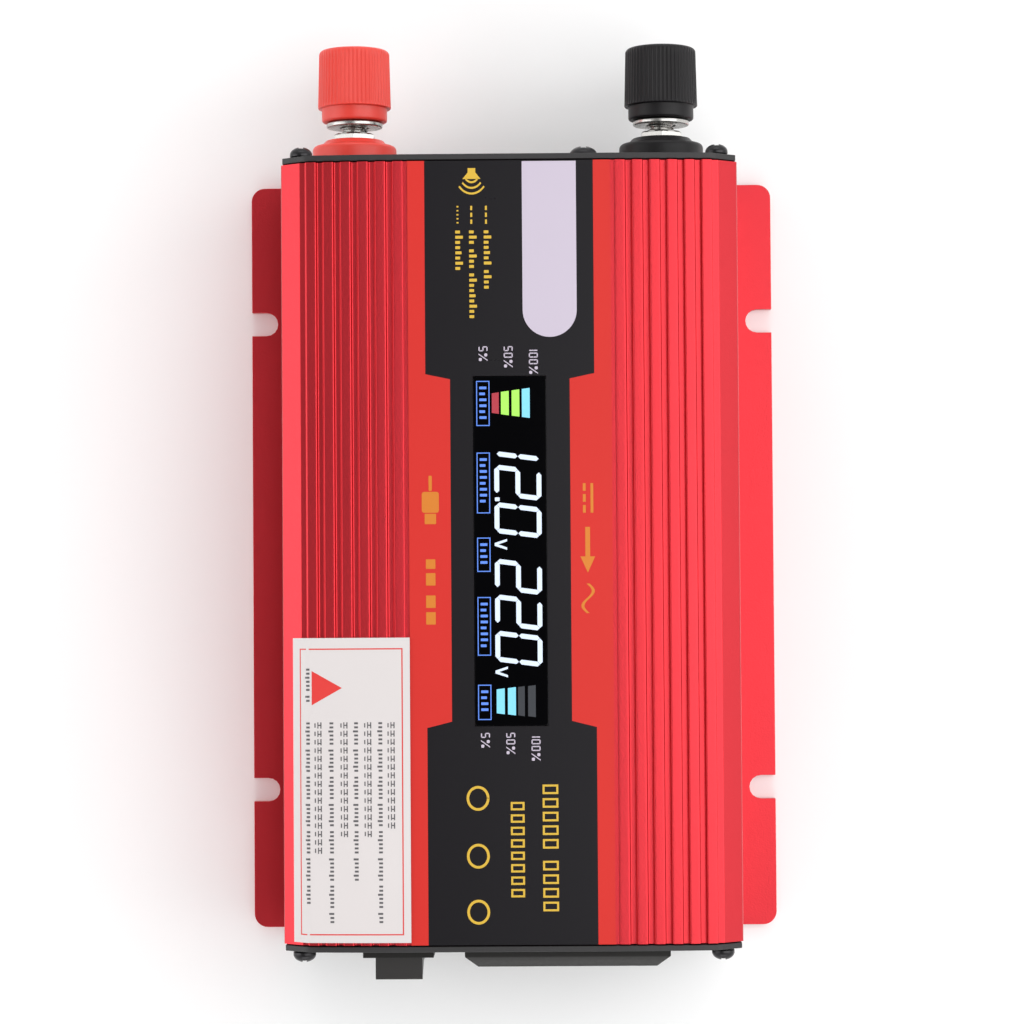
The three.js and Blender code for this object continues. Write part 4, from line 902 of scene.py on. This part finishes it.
for pole, slot_name in (("positive", "red_plastic"), ("negative", "black_plastic")):
    look = red_plastic if pole == "positive" else post_black
    low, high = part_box(pole + "_stud")
    middle = ((low.x + high.x) / 2 / mm, post_end, (low.z + high.z) / 2 / mm)

    # The base: a broad rounded flange, a cone above it, the pocket of the nut and the spigot behind.
    base_corners = [[bore, -1.2], [5, -1.2], [5, 0.3], [9.2, 0.3], [9.2, 5.35], [7.2, 5.7], [6.3, 6.7],
                    [5.42, 6.7], [5.42, 4.4], [bore, 4.4]]
    base_line = closed_line(base_corners, [0.1, 0.1, 0.2, 0.35, 1.1, 0.5, 0.5, 0.15, 0.1, 0.1], 6)
    base = turned_piece(pole + "_base_moulding", base_line, middle)
    fitted(base, look, "case", slot_name, pole + "_post_base")

    # The collar nut: a hexagon whose corners are cut by a cone at both ends, bored for the stud.
    nut_corner = nut_flats / 2 / math.cos(math.pi / 6)
    nut_corners = [[bore, 4.7], [4.25, 4.7], [nut_corner, 5.05], [nut_corner, 7.8], [4.2, 8.2], [3.6, 8.2],
                   [bore, 7.9]]
    nut_line = closed_line(nut_corners, [0.1, 0.1, 0.15, 0.15, 0.1, 0.1, 0.1], 3)
    nut_ripple = hexagon_ripple(nut_turns, nut_flats, nut_line[:, :1])
    nut = turned_piece(pole + "_collar", nut_line, middle, 25, nut_turns, nut_ripple)
    fitted(nut, steel_turned, "case", "nickel", pole + "_collar_nut")

    # The stud: an M6 thread of one millimetre pitch, a wave along the length that turns with the angle.
    stud_y = np.concatenate([[-14, -14], np.linspace(-13.5, 22.7, 400), [23.2, 23.2]])
    stud_r = np.concatenate([[0, 2.3], np.full(400, 2.66), [2.3, 0]])
    threaded = np.concatenate([[0, 0], np.ones(400), [0, 0]])[:, None]
    stud_turns = turns[::3]
    winding = 0.29 * np.cos(2 * np.pi * stud_y[:, None] - stud_turns) * threaded
    stud_line = np.stack([stud_r, stud_y], -1)
    stud = turned_piece(pole + "_stud_thread", stud_line, middle, 60, stud_turns, winding)
    fitted(stud, steel_turned, "case", "nickel", pole + "_stud")

    # The washer: a stamped ring with one edge rolled over.
    washer_corners = [[bore, 9.6], [6.15, 9.6], [6.15, 10.5], [bore, 10.5]]
    washer_line = closed_line(washer_corners, [0.1, 0.35, 0.15, 0.1], 4)
    washer = turned_piece(pole + "_washer_ring", washer_line, middle)
    fitted(washer, steel_turned, pole + "_washer", "nickel", pole + "_washer")

    # The knob: a smooth skirt, then fine flutes that start at a step and run out over the rounded top.
    # The flutes are a flattened cosine round the knob, faded in and out along it.
    rows_y = np.concatenate([[13.95], np.linspace(14.15, 25.4, 20)])
    rows_r = np.interp(rows_y, [foot_y, crown_y], [8.0, head_radius])
    top = np.linspace(0, np.pi / 2, 12)
    crown = np.stack([head_radius - 0.9 + 0.9 * np.cos(top), crown_y + 0.95 * np.sin(top)], -1)
    cap_r = np.linspace(6.7, 0, 12)
    cap = np.stack([cap_r, 26.55 + 0.35 * (1 - (cap_r / 6.8) ** 2)], -1)
    skirt = rounded([[bore, 10.8], [skirt_radius, 10.8], [skirt_radius, foot_y], [foot_radius, foot_y]],
                    [0.2, 0.6, 0.2, 0], 5)
    blind_end = np.array([[0, 24.8], [bore, 24.8]])
    knob_line = np.vstack([blind_end, skirt, np.stack([rows_r, rows_y], -1), crown, cap])
    fluted = np.interp(knob_line[:, 1], [13.85, 14.3, 24.9, 26.4], [0, 1, 1, 0])
    fluted[:len(blind_end) + len(skirt) - 1] = 0
    fluted[-len(cap):] = 0
    wave_shape = np.cos(knob_turns * flute_count)
    flutes = -0.2 * fluted[:, None] * (0.5 - 0.5 * np.sign(wave_shape) * np.abs(wave_shape) ** 0.6)
    knob = turned_piece(pole + "_knob_moulding", knob_line, middle, 40, knob_turns, flutes)
    fitted(knob, look, pole + "_knob", slot_name, pole + "_knob")

    # Behind the panel: an insulating ring, a nut, and the lead's lug.
    fitted(eased_copy(pole + "_back_insulator", 0.2), look, "case", slot_name, pole + "_back_insulator")
    fitted(eased_copy(pole + "_back_nut", 0.25), steel_turned, "case", "nickel", pole + "_back_nut")
    fitted(eased_copy(pole + "_lead", 0.15, sharp=30), look, "case", slot_name, pole + "_lead")

# ---- Electronics ----------------------------------------------------------------------------------
# The boards are green laminate with copper under the mask. The parts on them are a taped transformer,
# sleeved capacitors, a wound choke, a buzzer, and transistors clamped to the side walls.

board_green = finish("board_green", (0.02, 0.15, 0.055), 0.34, 0.0, 260.0, (1.0, 1.0, 1.0), 0.03, 0.4,
                     0.35, 0.1)
ferrite = finish("ferrite", (0.035, 0.035, 0.04), 0.6, 0.0, 700.0, depth=0.06, relief=0.6, shade=0.25,
                 coarse=0.8)
tape_yellow = finish("tape_yellow", (0.62, 0.40, 0.05), 0.36, 0.0, 260.0, (1.0, 1.0, 9.0), 0.05, 0.5, 0.1)
copper_wire = finish("copper_wire", (0.70, 0.28, 0.10), 0.28, 0.9, 500.0, (8.0, 8.0, 1.0), 0.08, 0.6, 0.15)
sleeve_blue = finish("sleeve_blue", (0.03, 0.05, 0.16), 0.3, 0.0, 500.0, depth=0.01, relief=0.3, shade=0.15)
epoxy_black = finish("epoxy_black", (0.03, 0.03, 0.032), 0.5, 0.0, 900.0, depth=0.03, relief=0.4, shade=0.2)
inner_looks = ((board_green, "circuit_board", ("main_board", "display_board", "usb_board")),
               (ferrite, "ferrite", ("transformer_core",)),
               (tape_yellow, "winding", ("transformer_winding",)),
               (copper_wire, "winding", ("output_choke",)),
               (sleeve_blue, "component", ("input_capacitor_1", "input_capacitor_2", "bus_capacitor")),
               (epoxy_black, "component", ("alarm_buzzer", "transistor_bank_left", "transistor_bank_right")))
for look, slot_name, names in inner_looks:
    for node in names:
        fitted(eased_copy(node, 0.2), look, "case", slot_name, node)

# ---- Studio ---------------------------------------------------------------------------------------
# A pale floor under the case that is clear from below, a broad soft light to the right, weaker ones to
# the left and at both ends, and a surround that is bright near the floor and darker overhead.

floor_half = 3000.0
floor_points = np.array([[-1, -1, 0], [1, -1, 0], [1, 1, 0], [-1, 1, 0]]) * [floor_half, floor_half, 0]
floor_mesh = bpy.data.meshes.new("floor")
floor_mesh.from_pydata((floor_points * mm + [0, 0, -0.00005]).tolist(), [], [[0, 1, 2, 3]])
floor = bpy.data.objects.new("floor", floor_mesh)
bpy.context.scene.collection.objects.link(floor)
floor_pale = finish("floor_pale", (0.93, 0.93, 0.93), 0.6, 0.0, 60.0, depth=0.02, relief=0.1, shade=0.01)
floor_tree = floor_pale.node_tree
side = add_node(floor_tree, "NewGeometry")
clear = add_node(floor_tree, "BsdfTransparent")
one_way = add_node(floor_tree, "MixShader")
wired(floor_tree, (side, "Backfacing", one_way, "Fac"), (clear, "BSDF", one_way, 2),
      (floor_tree.nodes["Principled BSDF"], "BSDF", one_way, 1),
      (one_way, "Shader", floor_tree.nodes["Material Output"], "Surface"))
floor_mesh.materials.append(floor_pale)

for name, place, size, power in (("key", (0.40, 0.03, 0.63), (0.6, 0.9), 3.8),
                                 ("left", (-0.80, 0.0, 0.40), (0.5, 0.9), 2.2),
                                 ("rear", (0.05, 0.85, 0.55), (0.9, 0.4), 2.0),
                                 ("front", (0.05, -0.85, 0.45), (0.9, 0.4), 2.0)):
    light = bpy.data.lights.new(name, "AREA")
    light.shape, light.size, light.size_y, light.energy = "RECTANGLE", *size, power
    lamp = bpy.data.objects.new(name, light)
    bpy.context.scene.collection.objects.link(lamp)
    aim = np.array([0, 0, 0.03]) - place
    lamp.location = place
    lamp.rotation_mode = "QUATERNION"
    lamp.rotation_quaternion = Vector(aim).to_track_quat("-Z", "Y")

world = bpy.data.worlds.new("studio")
bpy.context.scene.world = world
world.use_nodes = True
sky = world.node_tree
background = sky.nodes["Background"]
background.inputs["Color"].default_value = (1.0, 1.0, 1.0, 1.0)
direction = add_node(sky, "TexCoord")
split = add_node(sky, "SeparateXYZ")
fade = add_node(sky, "MapRange", From_Min=0.15, From_Max=0.95, To_Min=1.15, To_Max=0.26)
wired(sky, (direction, "Generated", split, "Vector"), (split, "Z", fade, "Value"),
      (fade, "Result", background, "Strength"))

scene = bpy.context.scene
scene.view_settings.view_transform = "Standard"
camera_data = bpy.data.cameras.new("camera")
camera_data.lens, camera_data.sensor_width = 109.97, 36.0
camera_data.clip_start, camera_data.clip_end = 0.05, 20.0
camera = bpy.data.objects.new("camera", camera_data)
scene.collection.objects.link(camera)
camera.location = (0.00628, -0.01082, 0.7115)
camera.rotation_euler = [math.radians(a) for a in (1.657, 0.534, -0.385)]
scene.camera = camera
